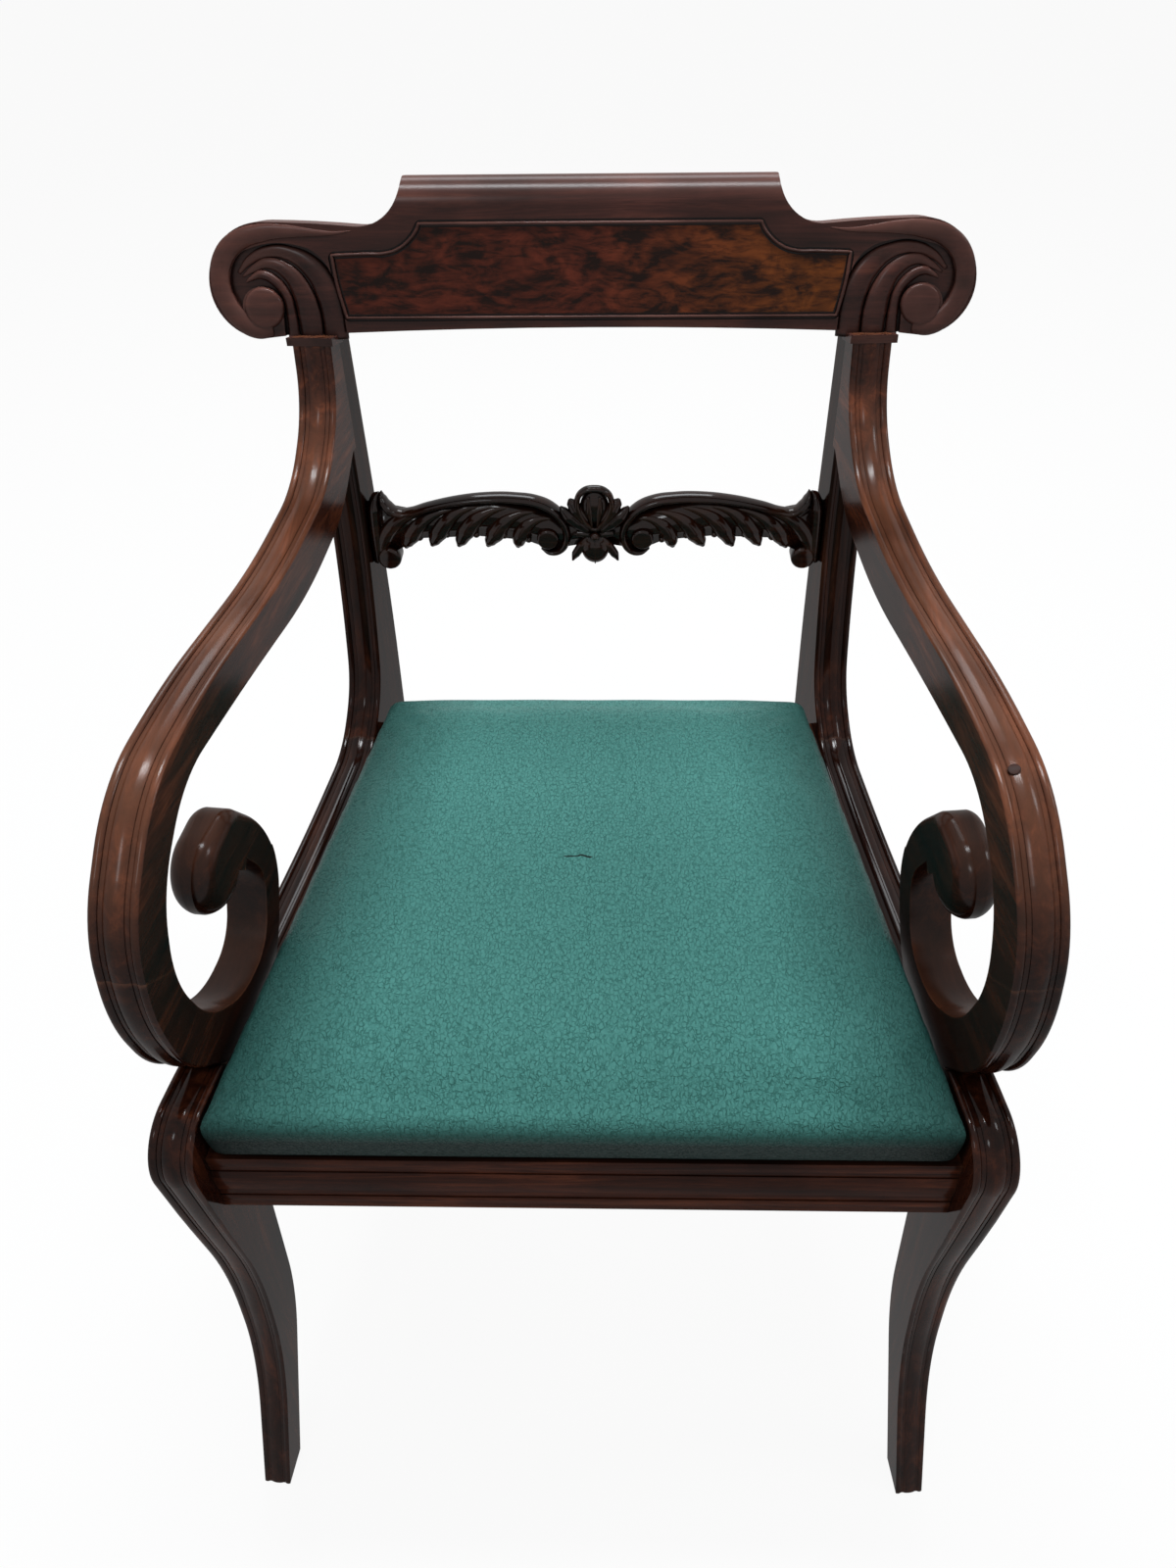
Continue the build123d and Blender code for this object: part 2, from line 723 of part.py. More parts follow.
with BuildPart() as back_post:
    add(side_frame.part)
    split(bisect_by=post_plane, keep=Keep.TOP)
    split(bisect_by=crest_seat, keep=Keep.BOTTOM)
    add(plain_arm, mode=Mode.SUBTRACT)
    add(side_block(*post_tenon, mortise_gap), mode=Mode.SUBTRACT)
    add(inner_stub(*back_stub, mortise_gap), mode=Mode.SUBTRACT)
    add(inner_stub(*mid_stub, mortise_gap), mode=Mode.SUBTRACT)
    add(screw(*arm_screw, screw_gap), mode=Mode.SUBTRACT)
    add(rod(pellet_seat, side_along, stile_depth, screw_head + 2 * screw_gap), mode=Mode.SUBTRACT)
    add(crest_tenon())
finish_pair(back_post.part, "back_post")

# Collars under the crest, round the upper ends of arm and post
with BuildPart() as collar:
    with BuildSketch(Plane(origin=(half_span, 0, lap_height), x_dir=side_along, z_dir=upward)):
        with Locations(((arm_top_front - 2 * collar_proud + lap_line) / 2, 0)):
            Rectangle(lap_line - arm_top_front + 2 * collar_proud, side_width + 2 * collar_proud)
    extrude(amount=over_top - lap_height)
    split(bisect_by=crest_seat, keep=Keep.BOTTOM)
    split(bisect_by=crest_seat.offset(-collar_height), keep=Keep.TOP)
    add(plain_arm, mode=Mode.SUBTRACT)
finish_pair(collar.part, "collar")

# Fasteners of the side frames, both sides in one node
with BuildPart() as arm_screws:
    add(screw(*arm_screw))
    mirror(about=Plane.YZ)
finish(arm_screws.part, "arm_screws")

with BuildPart() as screw_pellets:
    add(rod(pellet_seat, side_along, pellet_length, screw_head))
    mirror(about=Plane.YZ)
finish(screw_pellets.part, "screw_pellets")

with BuildPart() as arm_dowels:
    for middle in foot_dowels:
        add(dowel(middle, foot_up))
    mirror(about=Plane.YZ)
finish(arm_dowels.part, "arm_dowels")

with BuildPart() as arm_joint_dowels:
    add(dowel(scarf_dowel, upward))
    mirror(about=Plane.YZ)
finish(arm_joint_dowels.part, "arm_joint_dowels")


def cross_rail(front, back):
    """A rail that spans between the inner faces of the two side frames."""
    with BuildPart() as rail:
        with BuildSketch(Plane.XY.offset(rail_bottom)):
            with BuildLine():
                Polyline(
                    (inner_face(front), front),
                    (inner_face(back), back),
                    (-inner_face(back), back),
                    (-inner_face(front), front),
                    close=True,
                )
            make_face()
        extrude(amount=rail_height)
    return rail.part


# Front rail with its moulded face, and the plain back rail
front_rail_middle = (0, front_rail_face, rail_top - rail_height / 2)
front_face_plane = Plane(origin=front_rail_middle, x_dir=(0, 0, -1), z_dir=(-1, 0, 0))
top_band_start = -rail_height / 2
broad_band_start = top_band_start + top_band + upper_quirk
lower_bead_start = broad_band_start + broad_band + lower_quirk
front_bands = [
    (top_band_start, top_band_start + top_band, band_recess, bead_crown),
    (broad_band_start, broad_band_start + broad_band, band_recess, reed_crown),
    (lower_bead_start, lower_bead_start + lower_bead, band_recess, bead_crown),
]
with BuildPart() as front_rail:
    add(cross_rail(front_rail_face, front_rail_back))
    with BuildSketch(front_face_plane):
        add(moulding(front_bands, rail_height))
    extrude(amount=2 * half_span, both=True, mode=Mode.SUBTRACT)
    add(inner_stub(*front_stub))
    for fastener in front_block_screws:
        add(screw(*fastener, screw_gap), mode=Mode.SUBTRACT)
    split(bisect_by=Plane.YZ, keep=Keep.TOP)
    mirror(about=Plane.YZ)
finish(front_rail.part, "front_rail")

with BuildPart() as back_rail:
    add(cross_rail(back_rail_front, back_rail_front + rail_thickness))
    add(inner_stub(*back_stub))
    for fastener in back_block_screws:
        add(screw(*fastener, screw_gap), mode=Mode.SUBTRACT)
    split(bisect_by=Plane.YZ, keep=Keep.TOP)
    mirror(about=Plane.YZ)
finish(back_rail.part, "back_rail")


def corner_block(corner_y, inward, fasteners):
    """The right-hand block in a corner of the seat rails, bored for its screws."""
    far_y = corner_y + inward * block_leg
    with BuildPart() as block:
        with BuildSketch(Plane.XY.offset(block_low)):
            with BuildLine():
                Polyline(
                    (inner_face(corner_y), corner_y),
                    (inner_face(corner_y) - block_leg, corner_y),
                    (inner_face(far_y), far_y),
                    close=True,
                )
            make_face()
        extrude(amount=block_height)
        for seat, way, length in fasteners:
            add(screw(seat, way, length, screw_gap), mode=Mode.SUBTRACT)
            add(rod(seat, way * -1, block_leg, screw_head + 2 * screw_gap), mode=Mode.SUBTRACT)
    return block.part


finish_pair(corner_block(front_rail_back, 1, front_block_screws), "front_block")
finish_pair(corner_block(back_rail_front, -1, back_block_screws), "back_block")

with BuildPart() as corner_block_screws:
    for fastener in front_block_screws + back_block_screws:
        add(screw(*fastener))
    mirror(about=Plane.YZ)
finish(corner_block_screws.part, "corner_block_screws")


def crest_outline():
    """The crest seen square on: tablet, shoulders and volutes."""
    tablet_corner = (tablet_half_width, crest_height)
    with BuildSketch() as outline:
        with BuildLine():
            Polyline((0, crest_arch), (0, crest_height), tablet_corner)
            neck = TangentArc(tablet_corner, (tablet_half_width + 36, shoulder_height), tangent=(0, -1))
            rise = TangentArc(neck @ 1, (volute_inner + 8, volute_height), tangent=neck % 1)
            side = TangentArc(rise @ 1, (crest_half_width, volute_height / 2 - 3), tangent=rise % 1)
            low = TangentArc(side @ 1, (volute_inner + 18, -2), tangent=side % 1)
            Line(low @ 1, (volute_inner, 0))
            ThreePointArc((volute_inner, 0), (volute_inner / 2, crest_arch * 0.75), (0, crest_arch))
        make_face()
        mirror(about=Plane.YZ)
    return outline.sketch


def panel_outline(margin=0.0):
    """The veneered panel of the crest, larger by a margin."""
    corner = (panel_top_half, panel_top)
    shoulder = (panel_half_width, panel_shoulder)
    foot = (panel_half_width - 7, panel_low)
    with BuildSketch() as outline:
        with BuildLine():
            Polyline(foot, (0, panel_low), (0, panel_top), corner)
            neck = TangentArc(corner, (panel_neck, panel_shoulder + 1), tangent=(0.5, -1))
            Line(neck @ 1, shoulder)
            ThreePointArc(shoulder, (panel_half_width - 2, (panel_shoulder + panel_low) / 2 + 4), foot)
        make_face()
        mirror(about=Plane.YZ)
        if margin:
            offset(amount=margin)
    return outline.sketch


def hollow_outline():
    """The sinking of the right volute, open below, with its eye left standing."""
    foot = -2 * crest_arch
    rim = [
        (hollow_inner - 2, foot),
        (hollow_inner, eye_height + 10),
        (hollow_inner + 13, hollow_height - 3),
        (eye_offset - eye_radius, hollow_height + 4),
        (hollow_outer - 4, hollow_height - 5),
        (hollow_outer + 4, eye_height + 12),
        (eye_offset + 9, eye_height - 8),
    ]
    with BuildSketch() as outline:
        with BuildLine():
            flowing_line(rim)
            Polyline(rim[-1], (eye_offset - eye_radius, eye_height), (eye_offset - eye_radius, foot), rim[0])
        make_face()
        with Locations((eye_offset, eye_height)):
            Circle(eye_radius, mode=Mode.SUBTRACT)
    return outline.sketch


# Crest rail, with the panel and its bead let in and a hollow round each volute's eye
with BuildPart() as crest_rail:
    with BuildSketch(crest_plane):
        add(crest_outline())
    extrude(amount=-crest_thickness)
    fillet(crest_rail.edges().filter_by(Axis.X).group_by(Axis.Z)[-1], crest_roll)
    with BuildSketch(crest_plane):
        add(panel_outline(bead_width))
    extrude(amount=bead_proud - bead_depth, mode=Mode.SUBTRACT)
    with BuildSketch(crest_plane):
        add(hollow_outline())
    extrude(amount=-hollow_depth, mode=Mode.SUBTRACT)
    add(crest_tenon(mortise_gap), mode=Mode.SUBTRACT)
    split(bisect_by=Plane.YZ, keep=Keep.TOP)
    mirror(about=Plane.YZ)
finish(crest_rail.part, "crest_rail")

panel_bed = crest_plane.offset(bead_proud - bead_depth)
with BuildPart() as crest_panel:
    with BuildSketch(panel_bed):
        add(panel_outline())
    extrude(amount=panel_thickness)
finish(crest_panel.part, "crest_panel")

with BuildPart() as crest_bead:
    with BuildSketch(panel_bed):
        add(panel_outline(bead_width))
        add(panel_outline(), mode=Mode.SUBTRACT)
    extrude(amount=bead_depth)
finish(crest_bead.part, "crest_bead")

# Carved middle rail: a waved band with leaves hanging from it, scrolls and a palmette
mid_plane = Plane(origin=(0, mid_face, mid_height), x_dir=(1, 0, 0), z_dir=(0, -1, 0))
mid_end = inner_face(mid_face) + stub_length
leaf_top = leaf_width - leaf_tip_drop
inner_eye = (inner_eye_offset, -inner_eye_drop)
outer_eye = (outer_eye_offset, -outer_eye_drop)
with BuildPart() as mid_rail:
    with BuildSketch(mid_plane):
        with BuildLine():
            wave_top = (wave_crest_offset, wave_crest)
            end_top = (mid_end, wave_crest - 3)
            TangentArc(wave_top, (wave_neck_offset, wave_dip), tangent=(-1, 0))
            fall = TangentArc(wave_top, (wave_dip_offset, wave_dip), tangent=(1, 0))
            TangentArc(fall @ 1, end_top, tangent=fall % 1)
            Polyline(end_top, (mid_end, -outer_eye_drop), (leaf_first, leaf_top), (0, -inner_eye_drop))
            Polyline((0, -inner_eye_drop), (0, wave_dip), (wave_neck_offset, wave_dip))
        make_face()
        with Locations(inner_eye):
            Circle(inner_eye_radius)
        with Locations(outer_eye):
            Circle(outer_eye_radius)
        for leaf in range(leaf_count):
            with Locations((leaf_first + leaf * leaf_pitch, leaf_top)):
                Circle(leaf_width)
        with Locations((0, (palmette_height - palmette_drop) / 2)):
            Ellipse(palmette_half, (palmette_height + palmette_drop) / 2)
    extrude(amount=-mid_thickness)
    with BuildSketch(mid_plane):
        with Locations(inner_eye):
            Circle(inner_eye_radius)
        with Locations(outer_eye):
            Circle(outer_eye_radius)
    extrude(amount=eye_proud)
    split(bisect_by=inner_plane, keep=Keep.BOTTOM)
    add(inner_stub(*mid_stub))
    split(bisect_by=Plane.YZ, keep=Keep.TOP)
    mirror(about=Plane.YZ)
finish(mid_rail.part, "mid_rail")

# Drop-in seat
seat_front_half = inner_face(seat_front) - seat_gap_front
seat_back_half = inner_face(seat_back) - seat_gap_back
seat_slope = (seat_back_half - seat_front_half) / (seat_back - seat_front)
seat_middle = (seat_front + seat_back) / 2


def seat_half(y, inset):
    """Half the width of the seat at this depth, less an inset."""
    return seat_front_half + (y - seat_front) * seat_slope - inset


def seat_outline(inset, corner=seat_corner):
    """The plan of the seat, drawn in between its corners, smaller by an inset."""
    front = seat_front + inset
    back = seat_back - inset
    middle = (front + back) / 2
    front_corner = seat_half(front, inset)
    back_corner = seat_half(back, inset)
    waist = seat_half(middle, inset + side_draw)
    with BuildSketch() as outline:
        with BuildLine():
            ThreePointArc((-front_corner, front), (0, front + side_draw), (front_corner, front))
            ThreePointArc((front_corner, front), (waist, middle), (back_corner, back))
            ThreePointArc((back_corner, back), (0, back - side_draw), (-back_corner, back))
            ThreePointArc((-back_corner, back), (-waist, middle), (-front_corner, front))
        make_face()
        fillet(outline.vertices(), radius=corner)
    return outline.sketch


# Steps of the seat's form: rise above its foot, inset from its widest, and corner radius
seat_steps = [
    (0, 2.5, seat_corner),
    (6, 0, seat_corner),
    (seat_side_height - 8, 0, seat_corner),
    (seat_side_height, 3, seat_corner + 2),
    (seat_side_height + 0.45 * seat_crown, 14, seat_corner + 8),
    (seat_side_height + 0.8 * seat_crown, 44, seat_corner + 20),
    (seat_side_height + seat_crown, 100, seat_corner + 34),
]


def seat_form(skin):
    """The crowned form of the seat, smaller by a skin."""
    with BuildPart() as form:
        for rise, inset, corner in seat_steps:
            height = seat_low + rise
            if rise == 0:
                height += skin
            if rise > seat_side_height:
                height -= skin
            with BuildSketch(Plane.XY.offset(height)):
                add(seat_outline(inset + skin, corner))
        loft(ruled=True)
    return form.part


frame_inset = seat_steps[0][1] + cover_thickness + frame_clearance
member_inset = frame_inset + member_width
member_front = seat_front + member_inset
member_back = seat_back - member_inset


def tack_places():
    """Where the tacks go, along the turned-under edge of the cover."""
    front = seat_front + tack_inset
    back = seat_back - tack_inset
    places = []
    for y in (front, back):
        reach = seat_half(y, tack_inset + seat_corner)
        for step in range(tacks_across):
            places.append((reach * (2 * step / (tacks_across - 1) - 1), y))
    for step in range(tacks_along):
        y = front + (back - front) * (step + 1) / (tacks_along + 1)
        reach = seat_half(y, tack_inset + side_draw)
        places.extend([(reach, y), (-reach, y)])
    return places


def tacks(gap=0.0):
    """All tacks, or the clearance round them."""
    with BuildPart() as group:
        with BuildSketch(Plane.XY.offset(frame_bottom - tack_head_height - gap)):
            with Locations(*tack_places()):
                Circle(tack_head / 2 + gap)
        extrude(amount=tack_head_height + gap)
        with BuildSketch(Plane.XY.offset(frame_bottom)):
            with Locations(*tack_places()):
                Circle(tack_shank / 2 + gap)
        extrude(amount=tack_length + gap)
    return group.part


tack_holes = tacks(tack_gap)

with BuildPart() as seat_cover:
    add(seat_form(0))
    add(seat_form(cover_thickness), mode=Mode.SUBTRACT)
    with BuildSketch(Plane.XY.offset(seat_low - cover_thickness)):
        add(seat_outline(cover_turn))
    extrude(amount=3 * cover_thickness, mode=Mode.SUBTRACT)
    add(tack_holes, mode=Mode.SUBTRACT)
finish(seat_cover.part, "seat_cover")

with BuildPart() as seat_stuffing:
    add(seat_form(cover_thickness + frame_clearance))
    split(bisect_by=Plane.XY.offset(hessian_top), keep=Keep.TOP)
finish(seat_stuffing.part, "seat_stuffing")


def seat_frame_blank():
    """All four members of the seat frame in one, before they are cut apart."""
    with BuildPart() as blank:
        with BuildSketch(Plane.XY.offset(frame_bottom)):
            add(seat_outline(frame_inset))
            with BuildLine():
                Polyline(
                    (seat_half(member_front, member_inset), member_front),
                    (seat_half(member_back, member_inset), member_back),
                    (-seat_half(member_back, member_inset), member_back),
                    (-seat_half(member_front, member_inset), member_front),
                    close=True,
                )
            make_face(mode=Mode.SUBTRACT)
        extrude(amount=member_thickness)
        add(tack_holes, mode=Mode.SUBTRACT)
    return blank.part


def seat_tenon(y, towards, gap=0.0):
    """The tenon of the right side member, or its mortise, that crosses the joint at this depth."""
    length = seat_tenon_length + gap
    with BuildPart() as tenon:
        with BuildSketch(Plane.XY.offset((frame_bottom + frame_top) / 2)):
            with Locations((seat_half(y, frame_inset + member_width / 2), y + towards * length / 2)):
                Rectangle(seat_tenon_width + 2 * gap, length)
        extrude(amount=seat_tenon_thickness / 2 + gap, both=True)
    return tenon.part


seat_frame = seat_frame_blank()
member_front_plane = Plane(origin=(0, member_front, 0), z_dir=(0, 1, 0))
member_back_plane = Plane(origin=(0, member_back, 0), z_dir=(0, 1, 0))

with BuildPart() as seat_front_member:
    add(seat_frame)
    split(bisect_by=member_front_plane, keep=Keep.BOTTOM)
    add(seat_tenon(member_front, -1, mortise_gap), mode=Mode.SUBTRACT)
    split(bisect_by=Plane.YZ, keep=Keep.TOP)
    mirror(about=Plane.YZ)
finish(seat_front_member.part, "seat_front_member")

with BuildPart() as seat_back_member:
    add(seat_frame)
    split(bisect_by=member_back_plane, keep=Keep.TOP)
    add(seat_tenon(member_back, 1, mortise_gap), mode=Mode.SUBTRACT)
    split(bisect_by=Plane.YZ, keep=Keep.TOP)
    mirror(about=Plane.YZ)
finish(seat_back_member.part, "seat_back_member")

with BuildPart() as seat_side_member:
    add(seat_frame)
    split(bisect_by=member_front_plane, keep=Keep.TOP)
    split(bisect_by=member_back_plane, keep=Keep.BOTTOM)
    split(bisect_by=Plane.YZ, keep=Keep.TOP)
    add(seat_tenon(member_front, -1))
    add(seat_tenon(member_back, 1))
finish(seat_side_member.part, "seat_right_member")
finish(mirror(seat_side_member.part, about=Plane.YZ), "seat_left_member")

with BuildPart() as seat_webbing_long:
    with BuildSketch(Plane.XY.offset(frame_top)):
        with Locations((0, seat_middle)):
            with GridLocations(web_pitch, 1, web_count, 1):
                Rectangle(web_width, seat_back - seat_front - 2 * (frame_inset + web_end))
    extrude(amount=web_thickness)
finish(seat_webbing_long.part, "seat_webbing_long")

with BuildPart() as seat_webbing_cross:
    for strap in range(web_count):
        strap_y = seat_middle + (strap - (web_count - 1) / 2) * web_pitch
        strap_half = seat_half(strap_y + web_width / 2, frame_inset + web_end)
        with BuildSketch(Plane.XY.offset(frame_top + web_thickness)):
            with Locations((0, strap_y)):
                Rectangle(2 * strap_half, web_width)
        extrude(amount=web_thickness)
finish(seat_webbing_cross.part, "seat_webbing_cross")

with BuildPart() as seat_hessian:
    with BuildSketch(Plane.XY.offset(hessian_bottom)):
        add(seat_outline(hessian_inset))
    extrude(amount=hessian_thickness)
finish(seat_hessian.part, "seat_hessian")

with BuildPart() as seat_bottoming:
    with BuildSketch(Plane.XY.offset(frame_bottom - bottoming_thickness)):
        add(seat_outline(cover_turn + bottoming_gap))
    extrude(amount=bottoming_thickness)
finish(seat_bottoming.part, "seat_bottoming")

with BuildPart() as seat_tacks:
    add(tacks())
finish(seat_tacks.part, "seat_tacks")
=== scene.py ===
from math import cos, pi, radians, sin

import bmesh
import bpy
from bpy.props import FloatProperty, FloatVectorProperty, IntProperty, PointerProperty
from mathutils import Matrix, Vector


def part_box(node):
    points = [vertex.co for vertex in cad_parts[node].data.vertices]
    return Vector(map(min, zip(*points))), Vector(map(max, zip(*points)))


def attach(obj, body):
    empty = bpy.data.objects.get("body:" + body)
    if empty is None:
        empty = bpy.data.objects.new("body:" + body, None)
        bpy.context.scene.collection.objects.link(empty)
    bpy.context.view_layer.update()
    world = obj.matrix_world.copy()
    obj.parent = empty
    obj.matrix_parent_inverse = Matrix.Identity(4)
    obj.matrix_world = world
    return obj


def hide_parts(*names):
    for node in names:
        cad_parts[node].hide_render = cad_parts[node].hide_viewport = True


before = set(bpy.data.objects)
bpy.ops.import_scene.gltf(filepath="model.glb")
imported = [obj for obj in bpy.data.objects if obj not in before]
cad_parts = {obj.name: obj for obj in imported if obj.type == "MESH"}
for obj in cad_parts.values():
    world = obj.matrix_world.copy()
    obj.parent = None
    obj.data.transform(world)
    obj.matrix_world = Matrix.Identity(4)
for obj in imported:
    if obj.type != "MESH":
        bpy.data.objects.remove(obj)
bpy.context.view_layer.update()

bl_info = {
    "name": "Scroll-arm elbow chair",
    "version": (1, 0, 0),
    "blender": (4, 5, 0),
    "location": "View3D > Sidebar > Chair",
    "description": "Dresses the joined frame of an elbow chair with carving, polish and a drop-in seat",
    "category": "Object",
}

FRAME_BODY = "chair_frame"
SEAT_BODY = "drop_in_seat"
ARM_SHADE = (0.55, 0.73, 0.27)  # heights between which the arms darken, and the share of light left below
HOLLOW_SHADE_GREY = 0.0025             # grey of the painted shade in the hollows
SEAT_TAPER = 0.11               # how fast the seat narrows on each side towards the back
WAVE_SCALE = 0.314              # turns the pitch of a weave into the scale of the wave pattern


def colour(name, about, default):
    """A colour that a user may change."""
    return FloatVectorProperty(name=name, description=about, subtype="COLOR", size=3, default=default,
                               min=0, max=1)


def place_in_chair(name, about, default):
    """A place that a user may change."""
    return FloatVectorProperty(name=name, description=about, subtype="TRANSLATION", unit="LENGTH",
                               default=default)


def angle(name, about, degrees):
    """An angle that a user may change."""
    return FloatProperty(name=name, description=about, subtype="ANGLE", default=radians(degrees))


def length(name, about, default):
    """A length that a user may change."""
    return FloatProperty(name=name, description=about, subtype="DISTANCE", unit="LENGTH", default=default)


class ChairStage(bpy.types.PropertyGroup):
    """Camera and light."""
    eye: place_in_chair("Eye", "Where the camera stands", (0.0300, -0.6649, 1.1095))
    pitch: angle("Pitch", "How far the camera looks down", 40.938)
    yaw: angle("Yaw", "Turn of the camera about the upright", 1.691)
    roll: angle("Roll", "Tilt of the picture", -0.952)
    lens: FloatProperty(name="Lens", description="Focal length on a 36 mm long side",
                        subtype="DISTANCE_CAMERA", default=27.20)
    shift: FloatVectorProperty(name="Shift", description="Picture middle off the lens axis, in long sides",
                               size=2, default=(-0.00925, -0.0075))
    floor_colour: colour("Floor", "Pale studio floor", (0.86, 0.86, 0.86))
    room_light: FloatProperty(name="Room light", description="Even light from all sides", default=0.30)


class ChairWood(bpy.types.PropertyGroup):
    """Polished mahogany and its veneer."""
    dark: colour("Dark grain", "Dark streaks of the mahogany", (0.0060, 0.0021, 0.0014))
    mid: colour("Mid grain", "Body of the mahogany", (0.0260, 0.0068, 0.0034))
    light: colour("Light grain", "Light streaks of the mahogany", (0.080, 0.0215, 0.0090))
    worn: colour("Worn edge", "Wood where the polish has worn", (0.200, 0.080, 0.042))
    plum: colour("Plum grain", "Body of the crest's wood", (0.0290, 0.0086, 0.0064))
    plum_light: colour("Plum light", "Light streaks of the crest's wood", (0.0740, 0.0225, 0.0140))
    plum_worn: colour("Plum worn", "Crest where the polish has worn", (0.160, 0.070, 0.056))
    flame_dark: colour("Flame shade", "Dark waves of the flame veneer", (0.0110, 0.0040, 0.0026))
    flame_red: colour("Flame red", "Red waves of the flame veneer", (0.1300, 0.0255, 0.0130))
    flame_gold: colour("Flame gold", "Bright waves at one end of the veneer", (0.160, 0.043, 0.0085))
    beech: colour("Beech", "Plain beech of the hidden frame", (0.42, 0.26, 0.14))


class ChairCarving(bpy.types.PropertyGroup):
    """Where the carving sits."""
    crest_foot: place_in_chair("Crest foot", "Middle of the crest's lower front edge", (0.0, 0.236, 0.7699))
    crest_rake: angle("Crest rake", "How far the crest leans back", 13.2)
    rail_middle: place_in_chair("Rail middle", "Middle of the carved rail's front face", (0.0, 0.242, 0.5925))
    plug_middle: place_in_chair("Plug", "Middle of the plug in the right arm", (0.2472, -0.1552, 0.6702))
    plug_facing: FloatVectorProperty(name="Plug facing", description="Way that the plug faces",
                                     subtype="DIRECTION", default=(-0.234, -0.287, 0.929))


class ChairSeat(bpy.types.PropertyGroup):
    """The drop-in seat."""
    back_half: length("Back half", "Half of the seat's width at the back", 0.1850)
    side_height: length("Side height", "Height of the seat's edge before it is crowned", 0.0385)
    crown: length("Crown", "Rise of the middle before the stuffing swells", 0.0150)
    roll: length("Roll", "Width of the rounded border inside the edge", 0.105)
    pull: length("Pull", "Depth of the dents that the tacks pull into the border", 0.0012)
    swell: length("Swell", "Most that the stuffing pushes the top out", 0.004)
    side_swell: length("Side swell", "Most that the stuffing pushes the sides out", 0.0012)
    bulge: length("Bulge", "How far the sides stand out above the seat frame", 0.0035)
    turn_under: length("Turn under", "Cover turned under the seat frame", 0.022)
    cloth: length("Cloth", "Thickness of the leathercloth", 0.0011)
    pressure: FloatProperty(name="Pressure", description="Push of the stuffing", default=4.0)
    steps: IntProperty(name="Steps", description="Steps of the cloth simulation", default=20)
    # green is lifted and made bluer than the cloth itself: painted sheen on the top
    green: colour("Green", "Body of the leathercloth", (0.0600, 0.2030, 0.1800))
    # crease is partly the grain's own colour and partly painted shade in the creases
    crease: colour("Crease", "Creases of the leathercloth", (0.0080, 0.0560, 0.0460))
    scratch: place_in_chair("Scratch", "Middle of a short scratch on the top", (-0.0083, -0.0294, 0.4713))


def nodes_of(owner):
    """The empty node tree of a material or world, ready for new nodes."""
    owner.use_nodes = True
    owner.node_tree.nodes.clear()
    return owner.node_tree


def new_material(name):
    """A new material with its empty node tree and its place in the chair."""
    material = bpy.data.materials.new(name)
    tree = nodes_of(material)
    return material, tree, node(tree, "ShaderNodeTexCoord").outputs["Object"]


def node(tree, kind, inputs=None, **settings):
    """A new node: settings are its own fields, inputs are values or sockets by socket name or number."""
    made = tree.nodes.new(kind)
    for field, value in settings.items():
        setattr(made, field, value)
    for socket, value in (inputs or {}).items():
        if isinstance(value, bpy.types.NodeSocket):
            tree.links.new(value, made.inputs[socket])
        else:
            made.inputs[socket].default_value = value
    return made


def ramp(tree, fac, stops):
    """A colour ramp whose stops are (place, colour)."""
    made = node(tree, "ShaderNodeValToRGB", {"Fac": fac})
    elements = made.color_ramp.elements
    while len(elements) < len(stops):
        elements.new(0.5)
    for element, (place, tone) in zip(elements, stops):
        element.position = place
        element.color = (*tone, 1) if len(tone) == 3 else tone
    return made.outputs["Color"]


def grey(value):
    """A colour with no hue."""
    return (value, value, value)


def noise(tree, place, scale, detail, **more):
    """The height of a noise pattern."""
    inputs = {"Vector": place, "Scale": scale, "Detail": detail, **more}
    return node(tree, "ShaderNodeTexNoise", inputs).outputs[0]


def stretched(tree, place, scale, turn=0.0):
    """A place turned about the depth of the chair and scaled along its axes."""
    inputs = {"Vector": place, "Rotation": (0, turn, 0), "Scale": scale}
    return node(tree, "ShaderNodeMapping", inputs).outputs[0]


def bumped(tree, height, strength, reach, **more):
    """A normal with a fine relief."""
    inputs = {"Height": height, "Strength": strength, "Distance": reach, **more}
    return node(tree, "ShaderNodeBump", inputs).outputs[0]


def split(tree, place):
    """The x, y and z of a place."""
    return node(tree, "ShaderNodeSeparateXYZ", {0: place}).outputs[:]


def spread(tree, source, low, high, to_low, to_high):
    """A value moved from one range to another."""
    return node(tree, "ShaderNodeMapRange", {
        "Value": source, "From Min": low, "From Max": high, "To Min": to_low, "To Max": to_high,
    }).outputs["Result"]


def mixed(tree, fac, first, second, blend="MIX"):
    """Two colours mixed."""
    made = node(tree, "ShaderNodeMix", data_type="RGBA", blend_type=blend)
    for socket, value in ((0, fac), (6, first), (7, second)):
        if isinstance(value, bpy.types.NodeSocket):
            tree.links.new(value, made.inputs[socket])
        elif socket == 0:
            made.inputs[socket].default_value = value
        else:
            made.inputs[socket].default_value = (*value, 1)
    return made.outputs[2]


def calc(tree, operation, first, second=0.0):
    """One step of arithmetic."""
    return node(tree, "ShaderNodeMath", {0: first, 1: second}, operation=operation).outputs[0]


def painted_hollow_shade(tree, body, reach, low, high, most):
    """Painted shade: the wood darkens towards grey in the hollows that the occlusion finds."""
    open_sky = node(tree, "ShaderNodeAmbientOcclusion", {"Distance": reach}, samples=6).outputs["AO"]
    return mixed(tree, spread(tree, open_sky, low, high, most, 0.0), body, grey(HOLLOW_SHADE_GREY))


def soft_arris(tree, height, strength, reach, radius=0.0011):
    """A normal with rounded arrises and a fine relief."""
    arris = node(tree, "ShaderNodeBevel", {"Radius": radius}, samples=4).outputs[0]
    return bumped(tree, height, strength, reach, Normal=arris)


